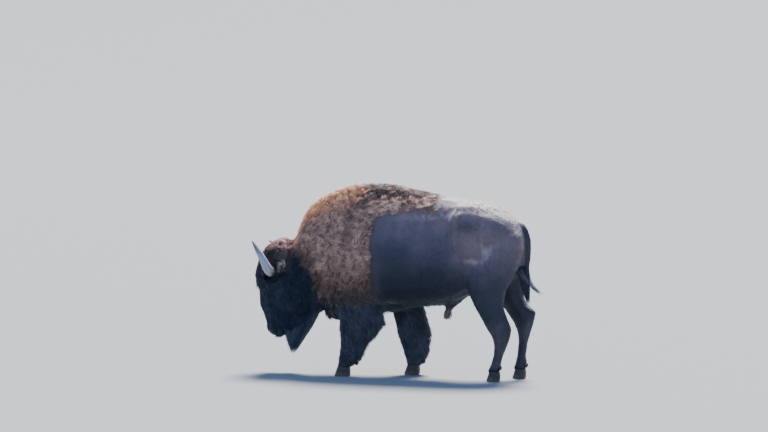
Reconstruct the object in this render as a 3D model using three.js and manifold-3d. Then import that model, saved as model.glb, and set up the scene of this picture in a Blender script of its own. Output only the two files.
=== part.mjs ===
// An adult bull of the plains bison, life size, walking with its head low.
// Millimetres, +Z up, the animal faces -X and its left side is -Y.
// The solids reach out to the tips of the coat: wool on hump, neck and head, long hair
// on beard and forelegs, and short hair from the ribs back.
import * as THREE from 'three';
import { mergeVertices } from 'three/addons/utils/BufferGeometryUtils.js';
import Module from 'manifold-3d';

const wasm = await Module();
wasm.setup();

// ---------------------------------------------------------------- driving dimensions
const GAP = 0.4; // clearance between neighbouring pieces
const CORONET = 92; // height at which hair gives way to hoof
const ELBOW_CUT = 640; // the forelegs part from the trunk here
const TAIL_TUFT_TOP = 960; // the tail's long hair starts here
const EYE_RADIUS = 20;
const EYE_SIDES = 10;
const BODY_SIDES = 20;
const HEAD_SIDES = 20;
const LIMB_SIDES = 12;
const HORN_SIDES = 10;
const EAR_SIDES = 8;
const TAIL_SIDES = 8;
const RINGS_PER_SPAN = 2;
const SIDES = { left: -1, right: 1 };

// ---------------------------------------------------------------- materials
const coat = (color, roughness) => new THREE.MeshStandardMaterial({ color, roughness, metalness: 0 });
const WOOL = coat('#6b5443', 0.95);
const DARK_HAIR = coat('#1f1a19', 0.9);
const SHORT_HAIR = coat('#3a302d', 0.75);
const HORN = coat('#6f6d68', 0.4);
const HOOF = coat('#26211e', 0.5);
const EYE = coat('#0d0908', 0.1);

// ---------------------------------------------------------------- shape helpers
const point = (x, y, z) => new THREE.Vector3(x, y, z);

// Smooth curve through rows of numbers; row i is met at parameter i.
function track(rows) {
  const curve = new THREE.CubicInterpolant(rows.map((_, i) => i), rows.flat(), rows[0].length);
  return (t) => Array.from(curve.evaluate(t));
}

// One closed section: `across` reaches the sides, `up` and `down` the two ends. A power of 2 is
// an ellipse, less is peaked and more is boxy.
function ring(centre, across, up, down, upPower, downPower, sides) {
  return Array.from({ length: sides }, (_, i) => {
    const angle = (2 * Math.PI * i) / sides;
    const [side, end] = [Math.sin(angle), Math.cos(angle)];
    const power = end >= 0 ? upPower : downPower;
    return centre
      .clone()
      .addScaledVector(across, Math.sign(side) * Math.abs(side) ** (2 / power))
      .addScaledVector(end >= 0 ? up : down, Math.abs(end) ** (2 / power));
  });
}

const middle = (points) =>
  points.reduce((sum, p) => sum.add(p), new THREE.Vector3()).divideScalar(points.length);

// A closed skin over a row of rings, with a fan to the middle of each end ring.
function loft(rings) {
  const count = rings[0].length;
  const last = rings.length * count;
  const vertices = [...rings.flat(), middle(rings[0]), middle(rings.at(-1))];
  const faces = [];
  for (let r = 0; r + 1 < rings.length; r++) {
    for (let i = 0; i < count; i++) {
      const [a, b] = [r * count + i, r * count + ((i + 1) % count)];
      faces.push(a, b, b + count, a, b + count, a + count);
    }
  }
  for (let i = 0; i < count; i++) {
    const next = (i + 1) % count;
    faces.push(last, next, i, last + 1, last - count + i, last - count + next);
  }
  return new THREE.BufferGeometry().setFromPoints(vertices).setIndex(faces);
}

// three.js geometry to a solid, turned to face outwards.
function solid(geometry) {
  const bare = geometry.clone();
  bare.deleteAttribute('normal');
  bare.deleteAttribute('uv');
  const merged = mergeVertices(bare, 1e-3);
  const build = (index) =>
    new wasm.Manifold(
      new wasm.Mesh({
        numProp: 3,
        vertProperties: new Float32Array(merged.attributes.position.array),
        triVerts: new Uint32Array(index),
      }),
    );
  const made = build(merged.index.array);
  return made.volume() > 0 ? made : build(Array.from(merged.index.array).reverse());
}

function geometryOf(shape) {
  const mesh = shape.getMesh();
  const positions = new THREE.BufferAttribute(new Float32Array(mesh.vertProperties), 3);
  const geometry = new THREE.BufferGeometry()
    .setAttribute('position', positions)
    .setIndex(Array.from(mesh.triVerts));
  geometry.computeVertexNormals();
  return geometry;
}

const join = (shapes) => shapes.reduce((whole, shape) => whole.add(shape));

const ball = (radii, sides) =>
  new THREE.SphereGeometry(1, sides, Math.round(sides * 0.7)).scale(radii.x, radii.y, radii.z);

const ellipsoid = (centre, radii, sides) =>
  solid(ball(radii, sides).translate(centre.x, centre.y, centre.z));

const round = (radius) => point(radius, radius, radius);

// All space on the side of `at` that `normal` points to.
function halfSpace(at, normal) {
  const reach = 6000;
  const box = new THREE.BoxGeometry(reach, reach, reach).translate(0, 0, reach / 2);
  const turn = new THREE.Quaternion().setFromUnitVectors(point(0, 0, 1), normal.clone().normalize());
  return solid(box.applyQuaternion(turn).translate(at.x, at.y, at.z));
}

// Parts a solid by a thin cut: [what lies along the normal, what lies behind it].
function part(shape, at, normal) {
  const step = normal.clone().setLength(GAP / 2);
  return [
    shape.intersect(halfSpace(at.clone().add(step), normal)),
    shape.intersect(halfSpace(at.clone().sub(step), normal.clone().negate())),
  ];
}

// Moves only the first and last ring outwards, by `grow`.
const endShift = (i, steps, grow) => (i === steps ? grow : i === 0 ? -grow : 0);

// A round or flattened tube along a smooth path. Each station is [x, y, z, half width, half
// thickness]; `flat` is the direction in which the tube is thin.
function tube(stations, flat, sides, grow = 0) {
  const at = track(stations);
  const spans = stations.length - 1;
  const steps = spans * RINGS_PER_SPAN;
  const rings = [];
  for (let i = 0; i <= steps; i++) {
    const t = (i / steps) * spans;
    const [x, y, z, width, thickness] = at(t);
    const before = at(Math.max(0, t - 0.05));
    const after = at(Math.min(spans, t + 0.05));
    const along = point(...after.slice(0, 3)).sub(point(...before.slice(0, 3))).normalize();
    const across = new THREE.Vector3().crossVectors(along, flat).normalize();
    const thin = new THREE.Vector3().crossVectors(across, along).setLength(thickness + grow);
    const centre = point(x, y, z).addScaledVector(along, endShift(i, steps, grow));
    rings.push(ring(centre, across.setLength(width + grow), thin, thin.clone().negate(), 2, 2, sides));
  }
  return loft(rings);
}

// A limb or head in level slices. Each station is [height, front, back, half width, middle].
function slices(stations, power, sides, grow = 0) {
  const steps = stations.length - 1;
  const downwards = Math.sign(stations.at(-1)[0] - stations[0][0]);
  return loft(
    stations.map(([height, front, back, half, lateral], i) => {
      const centre = point((front + back) / 2, lateral, height + downwards * endShift(i, steps, grow));
      const rear = point((back - front) / 2 + grow, 0, 0);
      const across = point(0, half + grow, 0);
      return ring(centre, across, rear, rear.clone().negate(), power, power, sides);
    }),
  );
}

// ---------------------------------------------------------------- neck and trunk
// Ribs run from the top line to the underline, from the jaw back to the rump:
// [top x, top z, keel x, keel z, half width, height of the widest part, top power, keel power]
const RIBS = [
  [-1075, 1130, -1010, 520, 150, 0.5, 2.0, 2.0], // inside the head
  [-985, 1235, -905, 505, 215, 0.5, 2.0, 2.0], // poll
  [-922, 1325, -808, 540, 250, 0.46, 2.0, 2.0], // nape
  [-878, 1470, -712, 552, 280, 0.42, 1.9, 2.0], // neck
  [-772, 1612, -612, 515, 312, 0.4, 1.75, 2.0], // front of the hump
  [-585, 1722, -505, 488, 338, 0.4, 1.65, 2.0], // shoulder
  [-400, 1786, -365, 500, 352, 0.4, 1.6, 2.0], // withers
  [-215, 1802, -190, 555, 356, 0.41, 1.6, 2.0], // top of the hump
  [0, 1788, 5, 596, 354, 0.42, 1.65, 2.0], // back of the hump
  [200, 1752, 210, 632, 356, 0.43, 1.75, 2.1], // ribs
  [400, 1707, 405, 658, 352, 0.45, 1.9, 2.1], // back
  [560, 1681, 560, 676, 330, 0.5, 2.2, 2.1], // loin
  [690, 1665, 690, 745, 306, 0.59, 2.7, 2.0], // hip bones
  [810, 1654, 810, 795, 292, 0.61, 2.4, 2.0], // croup
  [925, 1625, 925, 828, 276, 0.6, 2.2, 2.0],
  [1040, 1566, 1035, 860, 250, 0.58, 2.1, 2.0], // tail head
  [1135, 1492, 1125, 925, 212, 0.57, 2.1, 2.0], // buttocks
  [1200, 1415, 1190, 1010, 160, 0.56, 2.1, 2.0],
  [1232, 1320, 1225, 1120, 90, 0.5, 2.0, 2.0], // under the tail
  [1240, 1240, 1238, 1190, 20, 0.5, 2.0, 2.0],
];

function bodyShape() {
  const at = track(RIBS);
  const spans = RIBS.length - 1;
  const rings = [];
  for (let i = 0; i <= spans * RINGS_PER_SPAN; i++) {
    const [topX, topZ, keelX, keelZ, half, beam, topPower, keelPower] = at(i / RINGS_PER_SPAN);
    const [top, keel] = [point(topX, 0, topZ), point(keelX, 0, keelZ)];
    const centre = keel.clone().lerp(top, beam);
    rings.push(
      ring(centre, point(0, half, 0), top.sub(centre), keel.sub(centre), topPower, keelPower, BODY_SIDES),
    );
  }
  return solid(loft(rings));
}

// ---------------------------------------------------------------- head
// Level slices from the crown's wool to the chin.
const HEAD = [
  [1264, -1080, -1010, 25, 0],
  [1242, -1145, -945, 112, 0],
  [1185, -1218, -890, 182, 0],
  [1105, -1278, -860, 222, 0],
  [1020, -1308, -850, 238, 0], // forelock over the brow
  [935, -1330, -850, 238, 0],
  [870, -1332, -855, 222, 0],
  [815, -1316, -862, 200, 0],
  [768, -1290, -870, 182, 0], // eyes
  [700, -1287, -880, 160, 0],
  [625, -1284, -898, 140, 0],
  [540, -1246, -925, 122, 0],
  [470, -1222, -952, 109, 0], // nose
  [415, -1210, -985, 101, 0],
  [370, -1192, -1008, 92, 0], // lips
  [342, -1150, -1022, 74, 0],
  [320, -1090, -1035, 30, 0], // chin
];
const BEARD = [
  [600, -1000, -790, 60, 0],
  [540, -1020, -725, 84, 0],
  [460, -1042, -768, 78, 0],
  [390, -1044, -805, 66, 0],
  [335, -1034, -842, 52, 0],
  [285, -1014, -876, 38, 0],
  [235, -1000, -905, 26, 0],
  [192, -984, -934, 13, 0],
  [168, -970, -956, 4, 0],
];

const EYE_CENTRE = { x: -1190, out: 152, z: 786 };
const ORBIT = { centre: { x: -1172, out: 128, z: 798 }, radii: point(74, 62, 58) };
const SOCKET = { out: 34, radius: 34 };
const NOSTRIL = { centre: { x: -1212, out: 46, z: 400 }, radii: point(20, 19, 17) };

const HORN_PATH = [
  // x, out, z, radius
  [-1098, 150, 958, 42],
  [-1110, 215, 948, 51],
  [-1122, 275, 958, 49],
  [-1143, 318, 1006, 43],
  [-1170, 338, 1072, 36],
  [-1222, 333, 1153, 25],
  [-1255, 323, 1200, 15],
  [-1283, 311, 1238, 5],
];
const EAR_PATH = [
  // x, out, z, half width, half thickness
  [-1012, 180, 982, 26, 15],
  [-1012, 225, 990, 34, 15],
  [-1015, 275, 1000, 42, 14],
  [-997, 318, 1006, 36, 11],
  [-984, 350, 1008, 8, 5],
];

const placed = (spot, side) => point(spot.x, side * spot.out, spot.z);

const RIGHT_HORN_RISE = 0.88; // the right horn climbs a little less than the left

function hornSolid(side, grow = 0) {
  const root = HORN_PATH[0][2];
  const rise = side > 0 ? RIGHT_HORN_RISE : 1;
  const path = HORN_PATH.map(([x, out, z, r]) => [x, side * out, root + (z - root) * rise, r, r]);
  return solid(tube(path, point(1, 0, 0.3), HORN_SIDES, grow));
}

function earSolid(side, grow = 0) {
  const path = EAR_PATH.map(([x, out, ...others]) => [x, side * out, ...others]);
  return solid(tube(path, point(-1, 0, 0.35), EAR_SIDES, grow));
}

function headShape() {
  let head = solid(slices(HEAD, 2.25, HEAD_SIDES));
  for (const side of Object.values(SIDES)) {
    head = head.add(ellipsoid(placed(ORBIT.centre, side), ORBIT.radii, 10));
  }
  return head;
}

// Pockets that hold the eyes, horns and ears, and the open nostrils.
function headPockets() {
  return join(
    Object.values(SIDES).flatMap((side) => {
      const eye = placed(EYE_CENTRE, side);
      const opening = eye.clone().add(point(-6, side * SOCKET.out, 0));
      return [
        ellipsoid(eye, round(EYE_RADIUS + GAP), EYE_SIDES),
        ellipsoid(opening, round(SOCKET.radius), 10),
        ellipsoid(placed(NOSTRIL.centre, side), NOSTRIL.radii, 8),
        hornSolid(side, GAP),
        earSolid(side, GAP),
      ];
    }),
  );
}

// ---------------------------------------------------------------- legs
// Stations from the body down to the coronet: [height, front, back, half width, distance out]
const FORELEGS = {
  left: [
    [840, -540, -190, 95, 205],
    [730, -520, -96, 135, 208],
    [620, -497, -28, 142, 202],
    [510, -486, -6, 128, 195],
    [400, -476, -80, 108, 190],
    [310, -471, -164, 92, 186],
    [225, -472, -224, 78, 183],
    [150, -478, -266, 66, 181],
    [CORONET, -484, -350, 57, 180],
  ],
  right: [
    [840, -330, 60, 95, 205],
    [730, -190, 210, 135, 208],
    [620, -90, 280, 142, 202],
    [510, -48, 306, 130, 195],
    [410, -20, 338, 112, 190],
    [306, 13, 336, 96, 186],
    [225, 48, 314, 80, 183],
    [150, 78, 276, 66, 181],
    [CORONET, 96, 230, 57, 180],
  ],
};
const HINDLEGS = {
  left: [
    [1440, 900, 1120, 30, 120],
    [1340, 800, 1215, 92, 130],
    [1210, 730, 1252, 132, 148],
    [1010, 705, 1192, 144, 160],
    [840, 722, 1098, 126, 172],
    [690, 786, 1074, 98, 178],
    [580, 852, 1116, 77, 180],
    [490, 902, 1156, 64, 180], // point of the hock
    [400, 962, 1142, 55, 178],
    [330, 980, 1116, 48, 177],
    [240, 976, 1080, 43, 176],
    [170, 958, 1060, 46, 175],
    [128, 944, 1058, 54, 175], // fetlock
    [CORONET, 930, 1036, 53, 175],
  ],
  right: [
    [1440, 900, 1120, 30, 120],
    [1340, 805, 1215, 92, 130],
    [1210, 755, 1252, 132, 148],
    [1010, 770, 1228, 144, 160],
    [850, 830, 1190, 126, 172],
    [740, 908, 1200, 104, 178],
    [680, 966, 1246, 86, 180],
    [622, 1016, 1316, 70, 180], // point of the hock
    [520, 1088, 1296, 57, 178],
    [430, 1130, 1268, 49, 177],
    [340, 1142, 1242, 44, 176],
    [220, 1132, 1226, 43, 175],
    [140, 1116, 1236, 54, 175], // fetlock
    [CORONET, 1106, 1220, 53, 175],
  ],
};
const THIGH_CUT = {
  left: { at: point(720, 0, 735), normal: point(-0.5, 0, 1) },
  right: { at: point(800, 0, 735), normal: point(-0.5, 0, 1) },
};

// Two claws to a foot, each flat below, straight along the cleft and curved on the outside.
// From the sole up: [height, front, back, width], the last three as shares of length and width.
const CLAW_LEVELS = [
  [0, -0.48, 0.46, 0.98],
  [9, -0.5, 0.49, 1],
  [46, -0.4, 0.5, 0.95],
  [CORONET - GAP, -0.29, 0.46, 0.84],
];
const CLAW_GAP = 7;
const CLAW_SIDES = 10;
const CLEFT_SHARE = 0.34; // of a claw's width, from its middle to the cleft
const clawShape = (length, width, outward) =>
  loft(
    CLAW_LEVELS.map(([height, front, back, wide]) => {
      const along = point((length * (back - front)) / 2, 0, 0);
      const outside = point(0, outward * (1 - CLEFT_SHARE) * wide * width, 0);
      const cleft = point(0, -outward * CLEFT_SHARE * wide * width, 0);
      const centre = point((length * (front + back)) / 2, 0, height);
      return ring(centre, along, outside, cleft, 1.9, 4, CLAW_SIDES);
    }),
  );
const makeFoot = (length, width, ahead) => ({
  length,
  width,
  ahead, // how far the toes reach in front of the coronet
  claws: [-1, 1].map((outward) => geometryOf(solid(clawShape(length, width, outward)))),
});
const FEET = { fore: makeFoot(146, 60, 26), hind: makeFoot(126, 54, 10) };

const DEWCLAW = {
  height: 124,
  out: 27,
  sunk: 5,
  stationsUp: 1.6, // where on the leg its rear edge is read
  radii: point(15, 13, 19),
  sides: 7,
};

// Everything of one leg: the limb below its cut, its upper part that belongs to the trunk, the
// pocket the trunk leaves for it, the claws and the dewclaws.
function makeLeg(stations, side, cutAt, cutNormal, foot) {
  const mirrored = stations.map(([z, front, back, half, out]) => [z, front, back, half, side * out]);
  const [upper, lower] = part(solid(slices(mirrored, 2.15, LIMB_SIDES)), cutAt, cutNormal);
  const pocket = solid(slices(mirrored, 2.15, LIMB_SIDES, GAP)).intersect(
    halfSpace(cutAt.clone().add(cutNormal.clone().setLength(GAP / 2)), cutNormal.clone().negate()),
  );
  const [, front, , , out] = mirrored.at(-1);
  const [, , heel] = track(mirrored)(mirrored.length - DEWCLAW.stationsUp);
  const dewclaws = [-1, 1].map((outward) =>
    point(heel - DEWCLAW.sunk, out + side * outward * DEWCLAW.out, DEWCLAW.height),
  );
  const room = DEWCLAW.radii.clone().addScalar(GAP);
  const holes = dewclaws.map((at) => ellipsoid(at, room, DEWCLAW.sides));
  const claws = [-1, 1].map((outward) =>
    point(
      front - foot.ahead + foot.length / 2,
      out + outward * (CLEFT_SHARE * foot.width + CLAW_GAP / 2),
      0,
    ),
  );
  return { upper, limb: lower.subtract(join(holes)), pocket, claws, dewclaws };
}

// ---------------------------------------------------------------- tail, sheath and scrotum
const TAIL = [
  // x, y, z, half width, half thickness
  [1095, 0, 1445, 42, 38],
  [1168, 0, 1432, 42, 38],
  [1216, 0, 1391, 38, 35],
  [1250, 0, 1315, 33, 31],
  [1262, 0, 1215, 31, 30],
  [1257, 0, 1105, 28, 27],
  [1247, 0, 1000, 26, 26],
  [1241, 0, 900, 15, 15],
];
const TAIL_TUFT = [
  [1254, 0, 1050, 14, 14],
  [1242, 0, 985, 37, 32],
  [1238, 0, 930, 43, 36],
  [1244, 0, 870, 37, 32],
  [1255, 0, 800, 26, 22],
  [1267, 0, 738, 14, 12],
  [1275, 0, 695, 4, 4],
];
// A lock of the tuft is blown backwards.
const TAIL_WISP = [
  [1258, 0, 925, 10, 10],
  [1286, 0, 872, 22, 17],
  [1332, 0, 832, 19, 14],
  [1374, 0, 812, 12, 9],
  [1399, 0, 796, 5, 4],
];
const SHEATH = [
  [762, 0, 838, 26, 32],
  [690, 0, 790, 40, 38],
  [618, 0, 738, 44, 44],
  [556, 0, 682, 40, 42],
  [517, 0, 628, 34, 35],
  [500, 0, 578, 33, 37],
  [492, 0, 530, 7, 7],
];
const SCROTUM = { centre: point(930, 0, 725), radii: point(62, 62, 88) };

// ---------------------------------------------------------------- assembly

const legs = Object.fromEntries(
  Object.entries(SIDES).flatMap(([name, side]) => [
    [
      `foreleg_${name}`,
      makeLeg(FORELEGS[name], side, point(0, 0, ELBOW_CUT), point(0, 0, 1), FEET.fore),
    ],
    [
      `hindleg_${name}`,
      makeLeg(HINDLEGS[name], side, THIGH_CUT[name].at, THIGH_CUT[name].normal, FEET.hind),
    ],
  ]),
);

const tailTube = (stations, grow = 0) => solid(tube(stations, point(0, 1, 0), TAIL_SIDES, grow));
const tail = join([TAIL, TAIL_TUFT, TAIL_WISP].map((stations) => tailTube(stations)));
const [tailRoot, tailTuft] = part(tail, point(0, 0, TAIL_TUFT_TOP), point(0, 0, 1));

const flesh = join([
  bodyShape(),
  headShape(),
  solid(slices(BEARD, 2, LIMB_SIDES)),
  ...Object.values(legs).map((leg) => leg.upper),
])
  .subtract(headPockets())
  .subtract(tailTube(TAIL, GAP));

const makeSheath = (grow = 0) => solid(tube(SHEATH, point(0, 0, 1), 10, grow));
const makeScrotum = (grow = 0) => ellipsoid(SCROTUM.centre, SCROTUM.radii.clone().addScalar(grow), 10);

// From the nose back: the beard, head, neck, shoulders, barrel and hindquarters.
const BEARD_CUT = { at: point(-1040, 0, 338), normal: point(0.63, 0, -0.78) };
const HEAD_CUT = { at: point(-905, 0, 900), normal: point(1, 0, 0.11) };
const NECK_CUT = { at: point(-700, 0, 1050), normal: point(1, 0, 0.165) };
const HUMP_CUT = { at: point(-10, 0, 0), normal: point(1, 0, 0) };
const LOIN_CUT = { at: point(690, 0, 0), normal: point(1, 0, 0) };

let [rest, head] = part(flesh, HEAD_CUT.at, HEAD_CUT.normal);
let beard;
[beard, head] = part(head, BEARD_CUT.at, BEARD_CUT.normal);
let neck;
[rest, neck] = part(rest, NECK_CUT.at, NECK_CUT.normal);
const pockets = Object.values(legs).map((leg) => leg.pocket);
rest = rest.subtract(join([...pockets, makeSheath(GAP), makeScrotum(GAP)]));
let shoulders;
[rest, shoulders] = part(rest, HUMP_CUT.at, HUMP_CUT.normal);
let [hindquarters, barrel] = part(rest, LOIN_CUT.at, LOIN_CUT.normal);

const bison = new THREE.Group();

function addPiece(name, shape, material) {
  const mesh = new THREE.Mesh(geometryOf(shape), material);
  mesh.name = name;
  bison.add(mesh);
}

function addPlaced(name, geometry, material, at) {
  const mesh = new THREE.Mesh(geometry, material);
  mesh.name = name;
  mesh.position.copy(at);
  bison.add(mesh);
}

addPiece('head', head, DARK_HAIR);
addPiece('beard', beard, DARK_HAIR);
addPiece('neck', neck, WOOL);
addPiece('shoulders', shoulders, WOOL);
addPiece('barrel', barrel, SHORT_HAIR);
addPiece('hindquarters', hindquarters, SHORT_HAIR);
addPiece('tail', tailRoot, SHORT_HAIR);
addPiece('tail_tuft', tailTuft, DARK_HAIR);
addPiece('sheath', makeSheath(), SHORT_HAIR);
addPiece('scrotum', makeScrotum(), SHORT_HAIR);

for (const [name, leg] of Object.entries(legs)) {
  const isFore = name.startsWith('fore');
  addPiece(name, leg.limb, isFore ? DARK_HAIR : SHORT_HAIR);
  const foot = isFore ? FEET.fore : FEET.hind;
  leg.claws.forEach((at, i) => {
    addPlaced(`${name}_hoof_${i ? 'right' : 'left'}`, foot.claws[i], HOOF, at);
  });
  leg.dewclaws.forEach((at, i) => {
    const dewclaw = ball(DEWCLAW.radii, DEWCLAW.sides);
    addPlaced(`${name}_dewclaw_${i ? 'outer' : 'inner'}`, dewclaw, HOOF, at);
  });
}

for (const [name, side] of Object.entries(SIDES)) {
  addPiece(`horn_${name}`, hornSolid(side), HORN);
  addPiece(`ear_${name}`, earSolid(side), DARK_HAIR);
  addPlaced(`eye_${name}`, ball(round(EYE_RADIUS), EYE_SIDES), EYE, placed(EYE_CENTRE, side));
}

// The origin is on the ground under the middle of the animal's box.
const box = new THREE.Box3().setFromObject(bison);
const centre = box.getCenter(new THREE.Vector3());
bison.position.set(-centre.x, -centre.y, 0);

export default bison;
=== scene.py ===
# %% [markdown]
# # A plains bison bull, walking with its head low
# The animal stands life size in metres, +Z up, facing -X, with its left side at -Y. The solid
# model that comes with the frame reaches out to the tips of the coat. Here one skin is drawn
# inside those solids, and the coat is then grown on the skin as many thin locks of real mesh, so
# the outline stays where the solids put it. Eyes, horns and hooves are pieces of their own.

# %% Tools and the solid model
import math

import bpy
import numpy as np
from mathutils import Matrix, Vector
from mathutils.bvhtree import BVHTree


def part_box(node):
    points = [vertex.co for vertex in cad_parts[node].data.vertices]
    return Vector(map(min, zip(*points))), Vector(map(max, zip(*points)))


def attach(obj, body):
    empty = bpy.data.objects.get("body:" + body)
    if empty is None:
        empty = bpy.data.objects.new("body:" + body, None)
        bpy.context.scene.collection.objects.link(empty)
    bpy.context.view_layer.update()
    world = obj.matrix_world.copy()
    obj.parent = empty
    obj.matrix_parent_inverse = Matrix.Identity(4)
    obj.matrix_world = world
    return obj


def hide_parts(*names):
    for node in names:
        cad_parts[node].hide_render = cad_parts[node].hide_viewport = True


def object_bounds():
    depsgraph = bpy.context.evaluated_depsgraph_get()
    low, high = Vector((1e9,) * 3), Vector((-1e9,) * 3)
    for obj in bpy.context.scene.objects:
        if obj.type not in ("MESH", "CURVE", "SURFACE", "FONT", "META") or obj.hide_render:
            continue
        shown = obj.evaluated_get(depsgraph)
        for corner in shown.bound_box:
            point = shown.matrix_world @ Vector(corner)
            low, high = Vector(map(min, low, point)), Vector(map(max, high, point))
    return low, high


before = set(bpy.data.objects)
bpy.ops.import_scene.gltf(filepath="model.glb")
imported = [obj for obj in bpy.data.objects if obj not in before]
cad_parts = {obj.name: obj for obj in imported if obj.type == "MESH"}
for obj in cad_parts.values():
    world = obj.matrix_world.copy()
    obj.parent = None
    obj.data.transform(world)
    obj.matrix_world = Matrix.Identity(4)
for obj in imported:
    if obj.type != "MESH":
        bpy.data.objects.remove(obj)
CAD_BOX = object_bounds()
LOW, HIGH = (np.array(corner) for corner in CAD_BOX)
PATH_INSET = 0.0015  # the paths of the hairs keep this far inside the solid model's box
HAIR_INSET = 0.0003  # and the sides of the finished hairs this far
SIDES = {"left": -1, "right": 1}
rng = np.random.default_rng(17)
print("solids:", len(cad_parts), "box", LOW.round(3), HIGH.round(3))

# %% [markdown]
# ## Camera and studio
# A long lens far away keeps the proportions true, seen from the animal's left and a little from
# behind. The studio is a pale floor that runs back without an edge. A large warm lamp stands
# high behind the animal and draws a bright rim along the back and the hump; on the hump's front
# the rim is partly painted into the wool. It also makes the smooth hair of the back glare, and
# the back's colour is painted pale as well, a painted highlight.
# The near side is lit only by soft cool light from above, as open shade is.

# %% Camera
CAMERA_AZIMUTH = math.radians(13.0)
CAMERA_ELEVATION = math.radians(3.25)
CAMERA_ROLL = math.radians(0.75)
CAMERA_DISTANCE = 30.0
LENS_MM = 151.9
AIM = Vector((-0.139, 0.0, 1.48))


def camera_turn(azimuth, elevation, roll):
    """Rotation of a camera that looks along +Y at azimuth 0 and from above at positive elevation."""
    upright = Matrix.Rotation(math.pi / 2, 4, "X")
    tilt = Matrix.Rotation(-elevation, 4, "X")
    return Matrix.Rotation(azimuth, 4, "Z") @ tilt @ upright @ Matrix.Rotation(roll, 4, "Z")


camera_data = bpy.data.cameras.new("camera")
camera_data.lens = LENS_MM
camera_data.clip_end = 600.0
camera = bpy.data.objects.new("camera", camera_data)
bpy.context.scene.collection.objects.link(camera)
turn = camera_turn(CAMERA_AZIMUTH, CAMERA_ELEVATION, CAMERA_ROLL)
camera.matrix_world = Matrix.Translation(AIM + (turn @ Vector((0, 0, CAMERA_DISTANCE)))) @ turn
bpy.context.scene.camera = camera
print("camera at", [round(v, 2) for v in camera.location])


# %% A helper that leaves nothing selected
def deselect_all():
    """Operators act on all that is selected, so each step starts from nothing."""
    if bpy.context.object and bpy.context.object.mode != "OBJECT":
        bpy.ops.object.mode_set(mode="OBJECT")
    bpy.ops.object.select_all(action="DESELECT")


def choose(*objects):
    """Selects these objects alone, the first one active."""
    deselect_all()
    for each in objects:
        each.select_set(True)
    bpy.context.view_layer.objects.active = objects[0]


# %% Floor
FLOOR_RADIUS = 60.0
RIM_STEP = 30.0  # beyond the flat floor, rings this wide rise gently to close the horizon
RIM_STEPS = 12
RIM_SLOPE = math.radians(9.0)
deselect_all()
bpy.ops.mesh.primitive_circle_add(vertices=96, radius=FLOOR_RADIUS, fill_type="NGON")
floor = bpy.context.object
floor.name = "studio_floor"
bpy.ops.object.mode_set(mode="EDIT")
bpy.ops.mesh.select_mode(type="EDGE")
reach, height = FLOOR_RADIUS, 0.0
for k in range(1, RIM_STEPS + 1):
    wider = reach + RIM_STEP
    higher = height + RIM_STEP * math.tan(RIM_SLOPE * min(1.0, 2.0 * k / RIM_STEPS))
    bpy.ops.mesh.extrude_edges_move(TRANSFORM_OT_translate={"value": (0, 0, higher - height)})
    ratio = wider / reach
    bpy.ops.transform.resize(value=(ratio, ratio, 1), center_override=(0, 0, 0))
    reach, height = wider, higher
bpy.ops.object.mode_set(mode="OBJECT")
bpy.ops.object.shade_smooth()
print("floor radius", FLOOR_RADIUS, "rim height", round(height, 1))

# %% Lamps and sky
WARM_LAMP = (1.0, 0.93, 0.84)
COOL_SKY = (0.38, 0.57, 1.0)
SKY_STRENGTH = 0.6


def lamp(name, kind, energy, colour, azimuth, elevation, **settings):
    """A lamp that shines from this direction; azimuth 0 is in front of the left side."""
    data = bpy.data.lights.new(name, kind)
    data.energy = energy
    data.color = colour
    for key, value in settings.items():
        setattr(data, key, value)
    made = bpy.data.objects.new(name, data)
    bpy.context.scene.collection.objects.link(made)
    made.matrix_world = camera_turn(math.radians(azimuth), math.radians(elevation), 0.0)
    return made


lamp("lamp_behind", "SUN", 15.0, WARM_LAMP, azimuth=180.0, elevation=60.0, angle=math.radians(22))
lamp("lamp_above", "SUN", 1.5, COOL_SKY, azimuth=-12.0, elevation=60.0, angle=math.radians(75))
world = bpy.data.worlds.new("studio_air")
bpy.context.scene.world = world
world.use_nodes = True
air = world.node_tree.nodes["Background"]
air.inputs["Color"].default_value = (*COOL_SKY, 1.0)
air.inputs["Strength"].default_value = SKY_STRENGTH

# %% [markdown]
# ## Shader sums
# Shader maths is easier to read as sums. `Wire` wraps a socket, and each operator adds one Math
# node. Any other node comes from `Kit.node`.


# %% Wire
class Wire:
    """One value in a material, ready for arithmetic."""

    def __init__(self, kit, socket):
        self.kit = kit
        self.socket = socket

    def _math(self, operation, *values, clamp=False):
        settings = {"operation": operation, "use_clamp": clamp}
        return self.kit.node("ShaderNodeMath", settings, dict(enumerate(values)))

    def __add__(self, other):
        return self._math("ADD", self, other)

    __radd__ = __add__

    def __sub__(self, other):
        return self._math("SUBTRACT", self, other)

    def __rsub__(self, other):
        return self._math("SUBTRACT", other, self)

    def __mul__(self, other):
        return self._math("MULTIPLY", self, other)

    __rmul__ = __mul__

    def clamp(self):
        return self._math("ADD", self, 0.0, clamp=True)


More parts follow.
